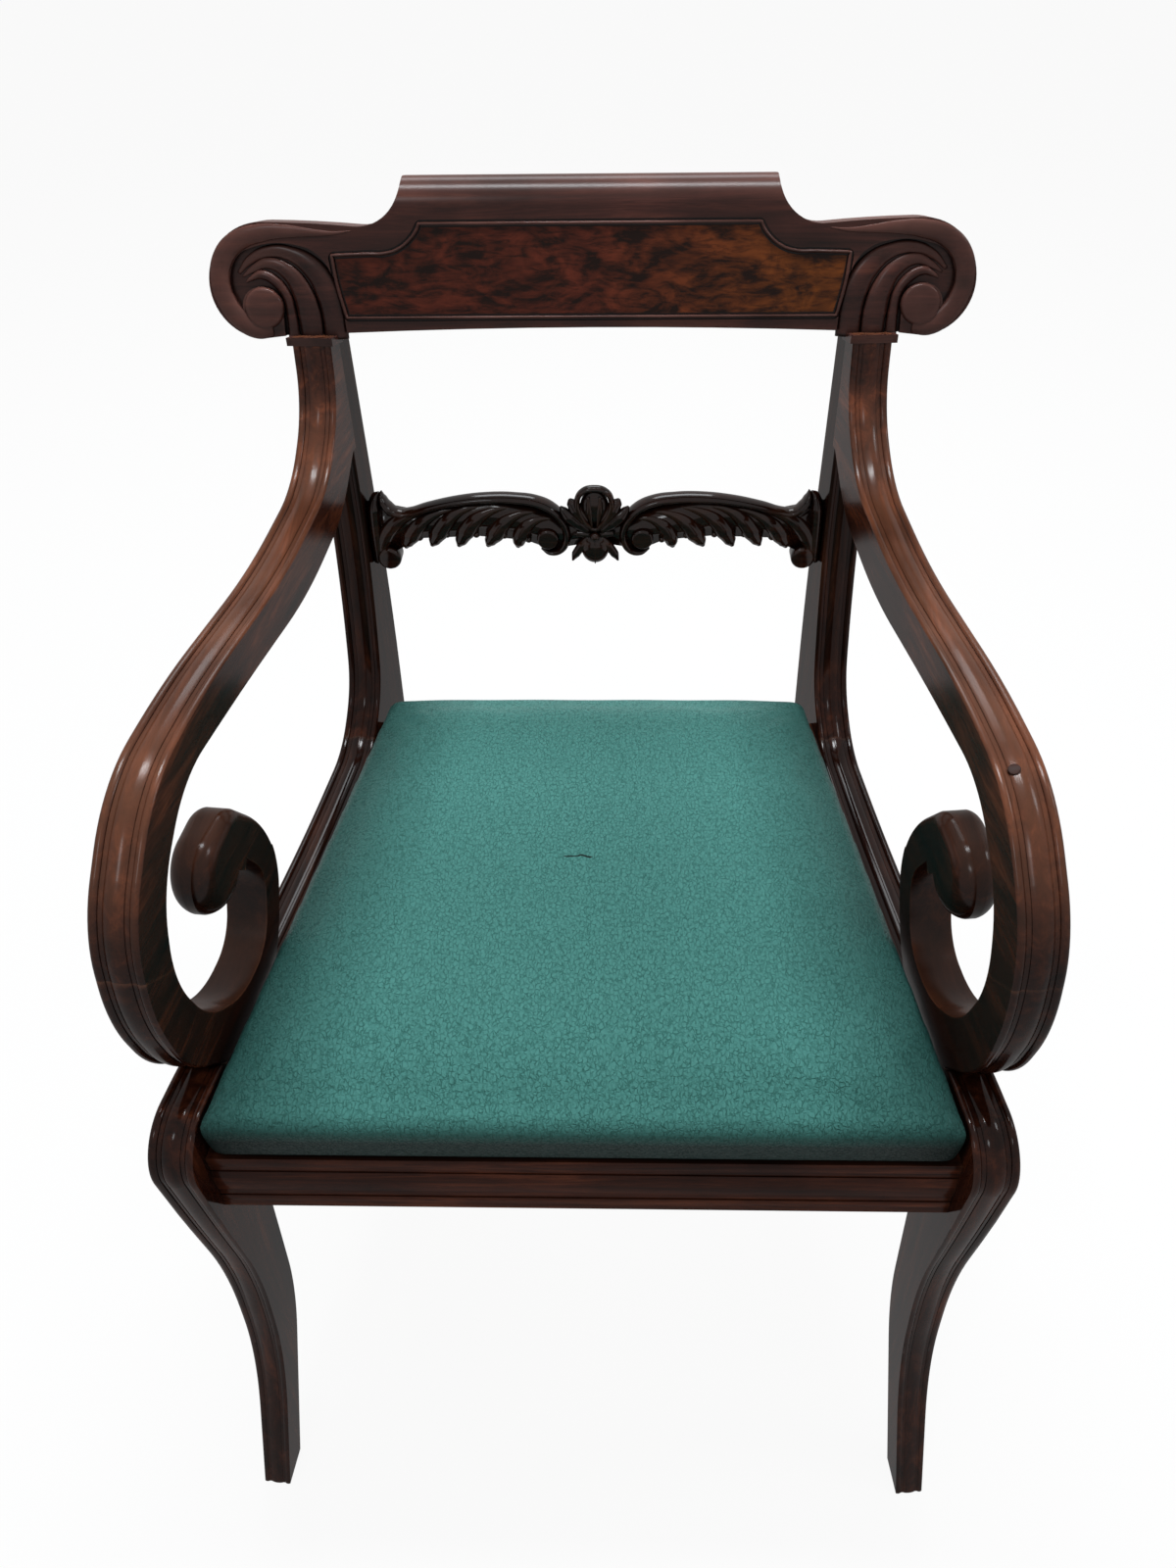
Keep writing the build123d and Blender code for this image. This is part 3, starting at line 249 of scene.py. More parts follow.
def closed_material(tree, material, **inputs):
    """The shader and output of a finish; each input is named with low lines for spaces."""
    sockets = {socket.replace("_", " "): value for socket, value in inputs.items()}
    shader = node(tree, "ShaderNodeBsdfPrincipled", sockets)
    node(tree, "ShaderNodeOutputMaterial", {"Surface": shader.outputs[0]})
    return material


def shaded(tree, body, shade):
    """A colour times a grey value."""
    tone = node(tree, "ShaderNodeCombineColor", {0: shade, 1: shade, 2: shade}).outputs[0]
    return mixed(tree, 1.0, body, tone, "MULTIPLY")


def polished_wood(name, grain, tones, wear=0.5, gloss=0.30, bright=1.0, faded_and_top_lit=0.0, shine=0.3,
                  shade=None, hollow=0.8):
    """Polished mahogany whose grain runs along an axis; edges wear, upward faces lighten with fading and
    painted top light, and hollows get painted shade.

    shade is (low, high, least): below a height the wood is darker, down to a share.
    """
    material, tree, place = new_material(name)
    dark, mid, light, worn = tones
    stretch = [1.0, 1.0, 1.0]
    stretch["XYZ".index(grain)] = 0.07
    along = stretched(tree, place, stretch)
    streaks = noise(tree, along, 90, 8, Roughness=0.66, Distortion=0.6)
    cloud = noise(tree, place, 11, 4)
    pores = noise(tree, along, 700, 3)
    body = ramp(tree, streaks, [(0.30, dark), (0.52, mid), (0.76, light)])
    body = shaded(tree, body, spread(tree, cloud, 0.35, 0.68, 0.66 * bright, 1.3 * bright))
    body = mixed(tree, spread(tree, pores, 0.30, 0.42, 0.4, 0.0), body, dark)
    # upward faces are painted lighter: fading and painted top light
    upward = split(tree, node(tree, "ShaderNodeNewGeometry").outputs["Normal"])[2]
    faded_and_top_lit_share = calc(tree, "MULTIPLY", spread(tree, upward, 0.15, 0.85, 0.0, faded_and_top_lit),
                  spread(tree, cloud, 0.35, 0.62, 0.45, 1))
    body = mixed(tree, faded_and_top_lit_share, body, worn)
    if shade:
        low, high, least = shade
        body = shaded(tree, body, spread(tree, split(tree, place)[2], low, high, least, 1.0))
    edge = node(tree, "ShaderNodeAmbientOcclusion", {"Distance": 0.004}, samples=6, inside=True).outputs["AO"]
    bare = calc(tree, "MULTIPLY", spread(tree, edge, 0.55, 0.28, 0.0, wear),
                spread(tree, cloud, 0.36, 0.6, 0.25, 1))
    body = mixed(tree, bare, body, worn)
    # painted shade in the hollows
    body = painted_hollow_shade(tree, body, 0.007, 0.35, 0.8, hollow)
    rough = spread(tree, cloud, 0.3, 0.7, gloss - 0.06, gloss + 0.09)
    return closed_material(tree, material, Base_Color=body, Roughness=rough, Specular_IOR_Level=0.0,
                           Coat_Weight=shine, Coat_Roughness=gloss - 0.08,
                           Normal=soft_arris(tree, pores, 0.05, 0.001))


def flame_veneer(name, shade, red, gold):
    """Crotch-cut veneer: broad plumes made of short feathered strokes, golden towards one end."""
    material, tree, place = new_material(name)
    slope = stretched(tree, place, (0.55, 1.0, 1.0), radians(38))
    plume = noise(tree, slope, 42, 4, Roughness=0.55, Distortion=1.8)
    flat = stretched(tree, place, (0.26, 1.0, 1.0), radians(14))
    feather = noise(tree, flat, 210, 6, Roughness=0.62, Distortion=0.7)
    across = split(tree, place)[0]
    wave = calc(tree, "ADD", calc(tree, "MULTIPLY", plume, 0.62), calc(tree, "MULTIPLY", feather, 0.38))
    rich = mixed(tree, spread(tree, across, 0.0, 0.16, 0.0, 1.0), red, gold)
    body = mixed(tree, spread(tree, wave, 0.41, 0.64, 0.0, 1.0), shade, rich)
    body = shaded(tree, body, spread(tree, across, -0.17, 0.14, 0.7, 1.05))
    body = mixed(tree, spread(tree, feather, 0.36, 0.50, 0.5, 0.0), body, shade)
    rough = spread(tree, plume, 0.3, 0.7, 0.26, 0.36)
    return closed_material(tree, material, Base_Color=body, Roughness=rough,
                           Specular_IOR_Level=0.0, Coat_Weight=0.18, Coat_Roughness=0.2,
                           Normal=soft_arris(tree, feather, 0.04, 0.001))


def plain_wood(name, tone):
    """Unpolished beech with fine flecks."""
    material, tree, place = new_material(name)
    fleck = noise(tree, stretched(tree, place, (0.1, 1.0, 1.0)), 240, 5)
    deep = tuple(0.55 * part for part in tone)
    body = ramp(tree, fleck, [(0.32, deep), (0.62, tone)])
    rough = spread(tree, fleck, 0.3, 0.7, 0.55, 0.75)
    return closed_material(tree, material, Base_Color=body, Roughness=rough,
                           Specular_IOR_Level=0.2, Normal=soft_arris(tree, fleck, 0.08, 0.001))


def woven(name, warp, weft, pitch):
    """Cloth of two crossing yarns."""
    material, tree, place = new_material(name)
    wave = {"Vector": place, "Scale": WAVE_SCALE / pitch, "Distortion": 1.2, "Detail": 2, "Detail Scale": 3}
    across, along = (node(tree, "ShaderNodeTexWave", wave, bands_direction=axis).outputs[1] for axis in "XY")
    body = mixed(tree, spread(tree, calc(tree, "SUBTRACT", across, along), -0.4, 0.4, 0, 1), warp, weft)
    slub = noise(tree, place, 160, 4)
    body = shaded(tree, body, spread(tree, slub, 0.3, 0.7, 0.6, 1.15))
    height = calc(tree, "MAXIMUM", across, along)
    rough = spread(tree, slub, 0.3, 0.7, 0.8, 0.95)
    return closed_material(tree, material, Base_Color=body, Roughness=rough,
                           Specular_IOR_Level=0.2, Normal=bumped(tree, height, 0.6, pitch / 3))


def dull_steel(name):
    """Dull screws and tacks."""
    material, tree, place = new_material(name)
    rust = noise(tree, place, 300, 4)
    body = ramp(tree, rust, [(0.35, (0.10, 0.06, 0.04)), (0.6, (0.32, 0.31, 0.30))])
    return closed_material(tree, material, Base_Color=body, Metallic=0.9,
                           Roughness=spread(tree, rust, 0.3, 0.7, 0.6, 0.35))


def scratch_line(tree, place, middle):
    """1 on a short wavering line across a surface that faces up."""
    waver = spread(tree, noise(tree, place, 70, 2), 0.3, 0.7, -0.0022, 0.0022)
    x, y, z = split(tree, place)
    from_middle = calc(tree, "ABSOLUTE", calc(tree, "SUBTRACT", x, middle[0]))
    along = spread(tree, from_middle, 0.0095, 0.0120, 1.0, 0.0)
    off = calc(tree, "SUBTRACT", calc(tree, "SUBTRACT", y, middle[1]), waver)
    across = spread(tree, calc(tree, "ABSOLUTE", off), 0.0006, 0.0014, 0.95, 0.0)
    above = spread(tree, z, middle[2] - 0.02, middle[2] - 0.015, 0.0, 1.0)
    return calc(tree, "MULTIPLY", calc(tree, "MULTIPLY", along, across), above)


def leathercloth(name, green, crease, scratch):
    """Pebbled green leathercloth with a network of fine creases and one scratch; its colour carries painted
    sheen on the top and painted shade in the creases, at the sides and at the bottom.
    """
    material, tree, place = new_material(name)
    wander = node(tree, "ShaderNodeTexNoise", {"Vector": place, "Scale": 330, "Detail": 3}).outputs[1]
    grain = stretched(tree, mixed(tree, 0.0020, place, wander, "LINEAR_LIGHT"), (1.25, 0.72, 1.0))
    pebbles, small = (node(tree, "ShaderNodeTexVoronoi", {"Vector": grain, "Scale": scale},
                           feature="DISTANCE_TO_EDGE").outputs[0] for scale in (320, 800))
    strength = noise(tree, place, 300, 2)
    furrow = calc(tree, "MULTIPLY", spread(tree, pebbles, 0.0, 0.16, 1.0, 0.0),
                  spread(tree, strength, 0.36, 0.60, 0.3, 1.0))
    # creases darker: the grain's own colour and painted shade
    body = mixed(tree, calc(tree, "MULTIPLY", furrow, 0.5), green, crease)
    body = mixed(tree, scratch_line(tree, place, scratch), body, grey(0.006))
    across, along, height = split(tree, place)
    # painted shade: the cloth darkens towards the bottom of the seat's sides
    body = shaded(tree, body, spread(tree, height, scratch[2] - 0.032, scratch[2] - 0.015, 0.13, 1.0))
    # painted shade: the cloth darkens towards the left and right edges, where the top rolls down
    aside = calc(tree, "ADD", calc(tree, "ABSOLUTE", across), calc(tree, "MULTIPLY", along, SEAT_TAPER))
    body = shaded(tree, body, spread(tree, aside, 0.120, 0.205, 1.0, 0.42))
    relief = calc(tree, "SUBTRACT", spread(tree, small, 0.0, 0.3, 0.0, 0.3), furrow)
    rough = spread(tree, furrow, 0.0, 1.0, 0.36, 0.55)
    return closed_material(tree, material, Base_Color=body, Roughness=rough, Specular_IOR_Level=0.06,
                           Normal=bumped(tree, relief, 0.9, 0.0007))


def dress(material, *names):
    """Give CAD nodes their finish."""
    for name in names:
        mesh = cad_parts[name].data
        mesh.materials.clear()
        mesh.materials.append(material)


def add_object(name, data):
    """A new object at the origin."""
    made = bpy.data.objects.new(name, data)
    bpy.context.scene.collection.objects.link(made)
    return made


def shaped_mesh(made):
    """The mesh of an object with its modifiers applied; the object is used up."""
    graph = bpy.context.evaluated_depsgraph_get()
    mesh = bpy.data.meshes.new_from_object(made.evaluated_get(graph))
    bpy.data.objects.remove(made)
    return mesh


def piece(name, solid, material, body, nodes=()):
    """A bmesh made a finished piece that rides on a body."""
    bmesh.ops.remove_doubles(solid, verts=solid.verts, dist=1e-7)
    bmesh.ops.recalc_face_normals(solid, faces=solid.faces)
    for face in solid.faces:
        face.smooth = True
    mesh = bpy.data.meshes.new(name)
    solid.to_mesh(mesh)
    solid.free()
    mesh.materials.append(material)
    made = add_object(name, mesh)
    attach(made, body)
    if nodes:
        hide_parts(*nodes)
    return made


def carved_band(solid, points, deep=1.0, sink=0.0, closed=False, corners=()):
    """A rounded band through (x, y, half width): its depth is deep times its width, its middle at sink."""
    line = bpy.data.curves.new("band", "CURVE")
    line.dimensions = "3D"
    line.bevel_depth = 1.0
    line.bevel_resolution = 4
    line.resolution_u = 8
    line.use_fill_caps = True
    spline = line.splines.new("BEZIER")
    spline.bezier_points.add(len(points) - 1)
    spline.use_cyclic_u = closed
    for knot, (x, y, half) in zip(spline.bezier_points, points):
        knot.co = (x, y, 0)
        knot.radius = half
    for place, knot in enumerate(spline.bezier_points):
        knot.handle_left_type = knot.handle_right_type = "VECTOR" if place in corners else "AUTO"
    mesh = shaped_mesh(add_object("band", line))
    mesh.transform(Matrix.Translation((0, 0, sink)) @ Matrix.Diagonal((1, 1, deep, 1)))
    solid.from_mesh(mesh)
    bpy.data.meshes.remove(mesh)


def carved_ball(solid, middle, radii):
    """A rounded boss."""
    bmesh.ops.create_uvsphere(solid, u_segments=32, v_segments=16, radius=1.0,
                              matrix=Matrix.Translation(middle) @ Matrix.Diagonal((*radii, 1)))


def round_over(solid, edges, radius, segments):
    """Edges made round."""
    bmesh.ops.bevel(solid, geom=edges, offset=radius, offset_type="OFFSET", affect="EDGES", segments=segments,
                    profile=0.5, material=-1)


def carved_disc(solid, middle, radius, low, high, edge):
    """An eye: a round disc with a rounded edge."""
    made = bmesh.ops.create_cone(solid, cap_ends=True, segments=40, radius1=radius, radius2=radius,
                                 depth=high - low, matrix=Matrix.Translation((*middle, (low + high) / 2)))
    edges = {e for v in made["verts"] for e in v.link_edges}
    round_over(solid, [e for e in edges if all(v.co.z > high - 0.001 for v in e.verts)], edge, 4)


def thicken(solid, outline, thickness):
    """A board grown upwards from an outline."""
    board = solid.faces.new([solid.verts.new(corner) for corner in outline])
    grown = bmesh.ops.extrude_face_region(solid, geom=[board])
    top = [v for v in grown["geom"] if isinstance(v, bmesh.types.BMVert)]
    bmesh.ops.translate(solid, verts=top, vec=(0, 0, thickness))


def both_sides(solid):
    """A half and its mirror image."""
    bmesh.ops.mirror(solid, geom=solid.verts[:] + solid.edges[:] + solid.faces[:], axis="X", merge_dist=-1)


def to_metres(place):
    """From millimetres on a face to metres in the chair."""
    return place @ Matrix.Scale(0.001, 4)


def crest_face(sizes):
    """From millimetres on the crest's front face to metres in the chair."""
    lean = Matrix.Rotation(pi / 2 - sizes.crest_rake, 4, "X")
    return to_metres(Matrix.Translation(sizes.crest_foot) @ lean)


class CHAIR_OT_stage(bpy.types.Operator):
    """Pale floor, soft light and the camera"""
    bl_idname = "chair.stage"
    bl_label = "Stage"

    def execute(self, context):
        scene = context.scene
        sizes = scene.chair_stage
        scene.view_settings.view_transform = "Standard"

        world = bpy.data.worlds.new("studio")
        scene.world = world
        tree = nodes_of(world)
        seen = self.seen_rays(tree)
        warm = (1.0, 0.98, 0.96, 1)
        room = node(tree, "ShaderNodeBackground", {"Color": warm, "Strength": sizes.room_light})
        white = node(tree, "ShaderNodeBackground", {"Color": (1, 1, 1, 1), "Strength": 1.0})
        both = node(tree, "ShaderNodeMixShader", {0: seen, 1: room.outputs[0], 2: white.outputs[0]})
        node(tree, "ShaderNodeOutputWorld", {"Surface": both.outputs[0]})

        pale = bpy.data.materials.new("pale_floor")
        tree = nodes_of(pale)
        seen = calc(tree, "MULTIPLY", self.seen_rays(tree), 0.93)
        matt = node(tree, "ShaderNodeBsdfDiffuse", {"Color": (*sizes.floor_colour, 1)})
        glow = node(tree, "ShaderNodeEmission", {"Color": (1, 1, 1, 1), "Strength": 1.0})
        both = node(tree, "ShaderNodeMixShader", {0: seen, 1: matt.outputs[0], 2: glow.outputs[0]})
        node(tree, "ShaderNodeOutputMaterial", {"Surface": both.outputs[0]})
        ground = bmesh.new()
        bmesh.ops.create_grid(ground, x_segments=1, y_segments=1, size=60.0)
        bmesh.ops.translate(ground, verts=ground.verts, vec=(0, 0, -0.0005))
        mesh = bpy.data.meshes.new("floor")
        ground.to_mesh(mesh)
        ground.free()
        mesh.materials.append(pale)
        add_object("floor", mesh)

        for name, spot, aim, wide, deep, power in (
            ("ceiling_light", (0.0, 0.28, 2.5), (0, 0.05, 0.5), 1.1, 0.24, 42),
            ("front_light", (-0.7, -1.5, 2.3), (0, 0, 0.5), 0.4, 0.4, 7),
            ("side_light", (1.7, 0.1, 1.9), (0, 0, 0.55), 0.4, 0.4, 7),
            ("back_light", (-0.1, 2.0, 2.5), (0, 0, 0.5), 1.3, 0.7, 26),
        ):
            lamp = bpy.data.lights.new(name, "AREA")
            lamp.shape = "RECTANGLE"
            lamp.energy = power
            lamp.color = (0.93, 0.97, 1.0)
            lamp.size = wide
            lamp.size_y = deep
            light = add_object(name, lamp)
            light.location = spot
            light.rotation_euler = (Vector(aim) - Vector(spot)).to_track_quat("-Z", "Y").to_euler()

        lens = bpy.data.cameras.new("photo_camera")
        lens.lens = sizes.lens
        lens.sensor_width = 36
        lens.shift_x, lens.shift_y = sizes.shift
        lens.clip_start = 0.01
        camera = add_object("photo_camera", lens)
        turn = Matrix.Rotation(sizes.yaw, 4, "Z") @ Matrix.Rotation(pi / 2 - sizes.pitch, 4, "X")
        camera.matrix_world = Matrix.Translation(sizes.eye) @ turn @ Matrix.Rotation(sizes.roll, 4, "Z")
        scene.camera = camera
        return {"FINISHED"}

    def seen_rays(self, tree):
        """1 for rays that show the background itself."""
        path = node(tree, "ShaderNodeLightPath").outputs
        seen = calc(tree, "MAXIMUM", path["Is Camera Ray"], path["Is Glossy Ray"])
        return calc(tree, "MAXIMUM", seen, path["Is Transmission Ray"])


class CHAIR_OT_polish(bpy.types.Operator):
    """Polished mahogany on the joined frame"""
    bl_idname = "chair.polish"
    bl_label = "Polish the frame"

    def execute(self, context):
        wood = context.scene.chair_wood
        tones = [tuple(tone) for tone in (wood.dark, wood.mid, wood.light, wood.worn)]
        plums = [tuple(tone) for tone in (wood.dark, wood.plum, wood.plum_light, wood.plum_worn)]
        legs = polished_wood("mahogany_legs", "Z", tones, wear=0.12, gloss=0.20, bright=1.0, shine=0.24)
        posts = polished_wood("mahogany_posts", "Z", tones, wear=0.2, gloss=0.21, bright=0.85, shine=0.2)
        rails = polished_wood("mahogany_rails", "Y", tones, wear=0.2, gloss=0.20, bright=0.6, shine=0.3)
        # the arms are a lighter copy of the same tones: partly wear, partly painted top light
        arms = polished_wood("mahogany_arms", "Y", tones, wear=0.6, gloss=0.28, bright=2.6, faded_and_top_lit=0.5,
                             shine=0.28, shade=ARM_SHADE, hollow=0.6)
        crest = polished_wood("mahogany_crest", "X", plums, wear=0.4, gloss=0.34, bright=1.3, faded_and_top_lit=0.3,
                              shine=0.3)
        front = polished_wood("mahogany_front", "X", tones, wear=0.35, gloss=0.24, bright=1.6, faded_and_top_lit=0.05,
                              shine=0.1)
        polished_wood("mahogany_carving", "X", tones, wear=0.1, gloss=0.19, bright=0.7, shine=0.45)
        hidden = plain_wood("beech_inside", tuple(wood.beech))
        stained = plain_wood("stained_beech", tuple(wood.mid))
        steel = dull_steel("dull_steel")
        for side in ("left_", "right_"):
            dress(legs, side + "front_leg")
            dress(posts, side + "back_post")
            dress(rails, side + "side_rail")
            dress(arms, side + "arm", side + "arm_scroll")
            dress(crest, side + "collar")
            dress(stained, side + "front_block", side + "back_block")
        dress(crest, "crest_rail", "screw_pellets")
        dress(front, "front_rail", "back_rail")
        flame = [tuple(tone) for tone in (wood.flame_dark, wood.flame_red, wood.flame_gold)]
        dress(flame_veneer("flame_veneer", *flame), "crest_panel")
        dress(hidden, "arm_dowels", "arm_joint_dowels", "seat_front_member", "seat_back_member",
              "seat_left_member", "seat_right_member")
        dress(steel, "arm_screws", "corner_block_screws", "seat_tacks")
        return {"FINISHED"}


class CHAIR_OT_volutes(bpy.types.Operator):
    """Carved volutes at the ends of the crest"""
    bl_idname = "chair.volutes"
    bl_label = "Crest volutes"

    RIM = ((243, 6, 6), (255, 5, 7), (267, 12, 7.6), (275.5, 24, 7.4), (278.5, 39, 7.4), (274, 55, 7.6),
           (262, 66.5, 7.4), (244, 72, 6.4), (224, 73, 4.6), (206, 72, 2.8), (190, 71.5, 1.4), (176, 73, 0.4))
    OUTER_REED = ((195.5, -3, 9.3), (196, 14, 9.4), (199, 31, 9.8), (208, 47, 8.4), (224, 57.5, 5.4),
                  (241, 59.3, 4.2), (255, 53.6, 3.2), (265, 44.5, 1.2))
    MIDDLE_REED = ((213.7, -3, 8.8), (214.8, 15, 9.4), (218.5, 31, 8.2), (227, 44.5, 6.2), (241.5, 51.2, 4.2),
                   (253, 47.5, 2.8), (262, 42, 0.8))
    INNER_REED = ((228, -3, 4.8), (228.5, 15, 4.2), (231, 29, 4.0), (238, 38.5, 4.0), (247.5, 43.2, 3.6),
                  (256, 40.5, 1.8), (260, 38, 0.6))
    REED_SINK = -4.6
    EYE = (247.5, 20)
    EYE_RADIUS = 14.8

    def execute(self, context):
        solid = bmesh.new()
        carved_band(solid, self.RIM, deep=0.28)
        carved_disc(solid, self.EYE, self.EYE_RADIUS, low=-4.9, high=2.4, edge=2.2)
        for reed, deep in ((self.OUTER_REED, 0.45), (self.MIDDLE_REED, 0.5), (self.INNER_REED, 0.9)):
            carved_band(solid, reed, deep, self.REED_SINK)
        both_sides(solid)
        bmesh.ops.transform(solid, matrix=crest_face(context.scene.chair_carving), verts=solid.verts)
        piece("crest_volutes", solid, bpy.data.materials["mahogany_crest"], FRAME_BODY)
        return {"FINISHED"}


class CHAIR_OT_panel_bead(bpy.types.Operator):
    """Round bead that frames the veneered panel"""
    bl_idname = "chair.panel_bead"
    bl_label = "Panel bead"

    HALF = ((125.6, 77.5), (127.5, 73.5), (132.6, 67.2), (142.4, 60.4), (153.9, 57.4), (166, 57.2),
            (192.3, 56.5), (190.7, 38), (185.4, 12.5))
    CORNERS = (0, 6, 8)
    HALF_WIDTH = 1.35

    def execute(self, context):
        left = [(-x, y) for x, y in reversed(self.HALF)]
        last = 2 * len(self.HALF) - 1
        corners = {*self.CORNERS, *(last - place for place in self.CORNERS)}
        points = [(x, y, self.HALF_WIDTH) for x, y in (*self.HALF, *left)]
        solid = bmesh.new()
        carved_band(solid, points, deep=1.3, sink=-0.6, closed=True, corners=corners)
        bmesh.ops.transform(solid, matrix=crest_face(context.scene.chair_carving), verts=solid.verts)
        polish = bpy.data.materials["mahogany_crest"]
        piece("panel_bead", solid, polish, FRAME_BODY, ("crest_bead",))
        return {"FINISHED"}


class CHAIR_OT_arm_plug(bpy.types.Operator):
    """Small plug let into the right arm"""
    bl_idname = "chair.arm_plug"
    bl_label = "Arm plug"

    RADIUS = 3.6

    def execute(self, context):
        sizes = context.scene.chair_carving
        solid = bmesh.new()
        carved_disc(solid, (0, 0), self.RADIUS, low=-1.5, high=0.5, edge=0.4)
        facing = Vector(sizes.plug_facing).to_track_quat("Z", "Y").to_matrix().to_4x4()
        place = to_metres(Matrix.Translation(sizes.plug_middle) @ facing)
        bmesh.ops.transform(solid, matrix=place, verts=solid.verts)
        piece("arm_plug", solid, bpy.data.materials["stained_beech"], FRAME_BODY)
        return {"FINISHED"}


class CHAIR_OT_carved_rail(bpy.types.Operator):
    """Carved middle rail: palmette, scrolled bands and leaves"""
    bl_idname = "chair.carved_rail"
    bl_label = "Carved rail"

    BAND = ((47, -15, 1.5), (40, -18.5, 3), (31, -16.5, 3.6), (25.5, -8, 3.8), (24.8, 2, 4), (29, 13.5, 4.2),
            (37, 23, 4.2), (50, 29.5, 4), (68, 32.5, 3.8), (88, 33, 3.8), (115, 30.5, 3.6), (143, 24.5, 3.4),
            (160, 19.5, 3.2), (170, 19, 3.4), (177, 24, 4), (181, 31, 3.6), (182, 36.5, 2),
            (181.5, 39.5, 0.6))
    LEAVES = (
        ((36, 14, 1.5), (48, 13.5, 3.5), (59, 7, 6.5), (65, -3, 7.5), (67, -10, 5), (68, -14, 1.5)),
        ((50, 21, 1.5), (66, 18, 4), (78.5, 10, 7.2), (87, -1, 8.2), (92, -8.5, 5.2), (94.5, -13, 1.5)),
        ((73, 25, 1.5), (89, 21.5, 4), (103, 13, 7.4), (112.5, 1.5, 8.4), (117.5, -8, 5.4), (120, -13, 1.5)),
        ((98, 26, 1.5), (114, 22, 4), (127, 12.5, 7.4), (136, 0.5, 8.2), (141, -8, 5.2), (143.5, -12.5, 1.5)),
        ((120, 24, 1.5), (138, 18, 4), (152.5, 8, 7.4), (161, -3, 8), (165, -10, 5.4), (166.5, -14.5, 1.5)),
        ((142, 23, 2), (160, 18, 5), (175, 8, 7.4), (184, -4, 7.6), (187, -14, 6.5), (184, -22, 5)),
    )
    CUSPS = ((58, -6.5, 3.6), (79, -2.5, 3.6), (103.5, -1.5, 3.6), (129, -1.5, 3.6), (153.5, -4.5, 3.6))
    END = ((184, 38, 1), (187, 34, 4), (189.5, 24, 6), (190.5, 10, 6), (191, -8, 6), (192, -27, 5))
    PETALS = (((3, 6, 3), (9, 15, 5.5), (15.5, 24.5, 6.5), (19.5, 31, 4.5), (21, 34, 1.5)),
              ((5, 3, 3), (14, 10.5, 5.5), (22, 18, 6), (27, 24, 3.4), (29, 27, 1.2)),
              ((5, -2, 3), (11, -10, 4.4), (17, -19, 3.8), (20, -25.5, 0.8)),
              ((4, 0, 3), (10, 1, 4), (16, 1.5, 3)))
    LOBE = ((0, 45, 2.6), (9.5, 42.5, 2.6), (14.5, 34, 2.6), (12.5, 22, 2.4), (6, 12, 2.2), (0, 7, 2),
            (-6, 12, 2.2), (-12.5, 22, 2.4), (-14.5, 34, 2.6), (-9.5, 42.5, 2.6))
    RIBS = (((2.2, 9, 0.7), (4.4, 24, 2.4), (5, 38, 1.0)), ((-2.2, 9, 0.7), (-4.4, 24, 2.4), (-5, 38, 1.0)))
    BUD_RIB = ((0, -4, 0.6), (0, -14, 0.8), (0, -25, 0.5))
    GROUND = ((0, -8), (40, -15), (60, -6), (101, -2), (151, -4), (170, -14), (195.5, -26), (195.5, 26),
              (178, 22), (160, 18), (143, 23), (115, 29), (88, 32), (60, 29.5), (40, 22), (28, 12), (0, 10))
    GROUND_BACK = -17.5
    GROUND_THICK = 13
    INNER_EYE = (41, -4)
    OUTER_EYE = (181.5, -22.5)

    def execute(self, context):
        solid = bmesh.new()
        carved_band(solid, self.BAND, 2.2, -8)
        for leaf in self.LEAVES:
            carved_band(solid, leaf, 0.85, -6)
        for x, y, half in self.CUSPS:
            carved_ball(solid, (x, y, -9), (half, half, 6))
        carved_band(solid, self.END, 1.6, -8.5)
        for petal in self.PETALS:
            carved_band(solid, petal, 0.9, -3)
        carved_disc(solid, self.INNER_EYE, 9.5, low=-15, high=0.5, edge=2.5)
        carved_disc(solid, self.OUTER_EYE, 10.5, low=-15, high=0.5, edge=3)
        self.ground(solid)
        both_sides(solid)
        carved_band(solid, self.LOBE, 1.7, -0.5, closed=True)
        carved_ball(solid, (0, 26, -4), (12.5, 17, 6))
        for rib in self.RIBS:
            carved_band(solid, rib, 0.8, 1.0)
        carved_ball(solid, (0, 1, 2.5), (4.2, 4.2, 4.2))
        carved_ball(solid, (0, -13, -3), (12, 14, 7))
        carved_band(solid, self.BUD_RIB, 1.0, 2.8)
        face = Matrix.Translation(context.scene.chair_carving.rail_middle) @ Matrix.Rotation(pi / 2, 4, "X")
        bmesh.ops.transform(solid, matrix=to_metres(face), verts=solid.verts)
        polish = bpy.data.materials["mahogany_carving"]
        piece("carved_rail", solid, polish, FRAME_BODY, ("mid_rail",))
        return {"FINISHED"}

    def ground(self, solid):
        """The board that the leaves are cut from."""
        thicken(solid, [(x, y, self.GROUND_BACK) for x, y in self.GROUND], self.GROUND_THICK)


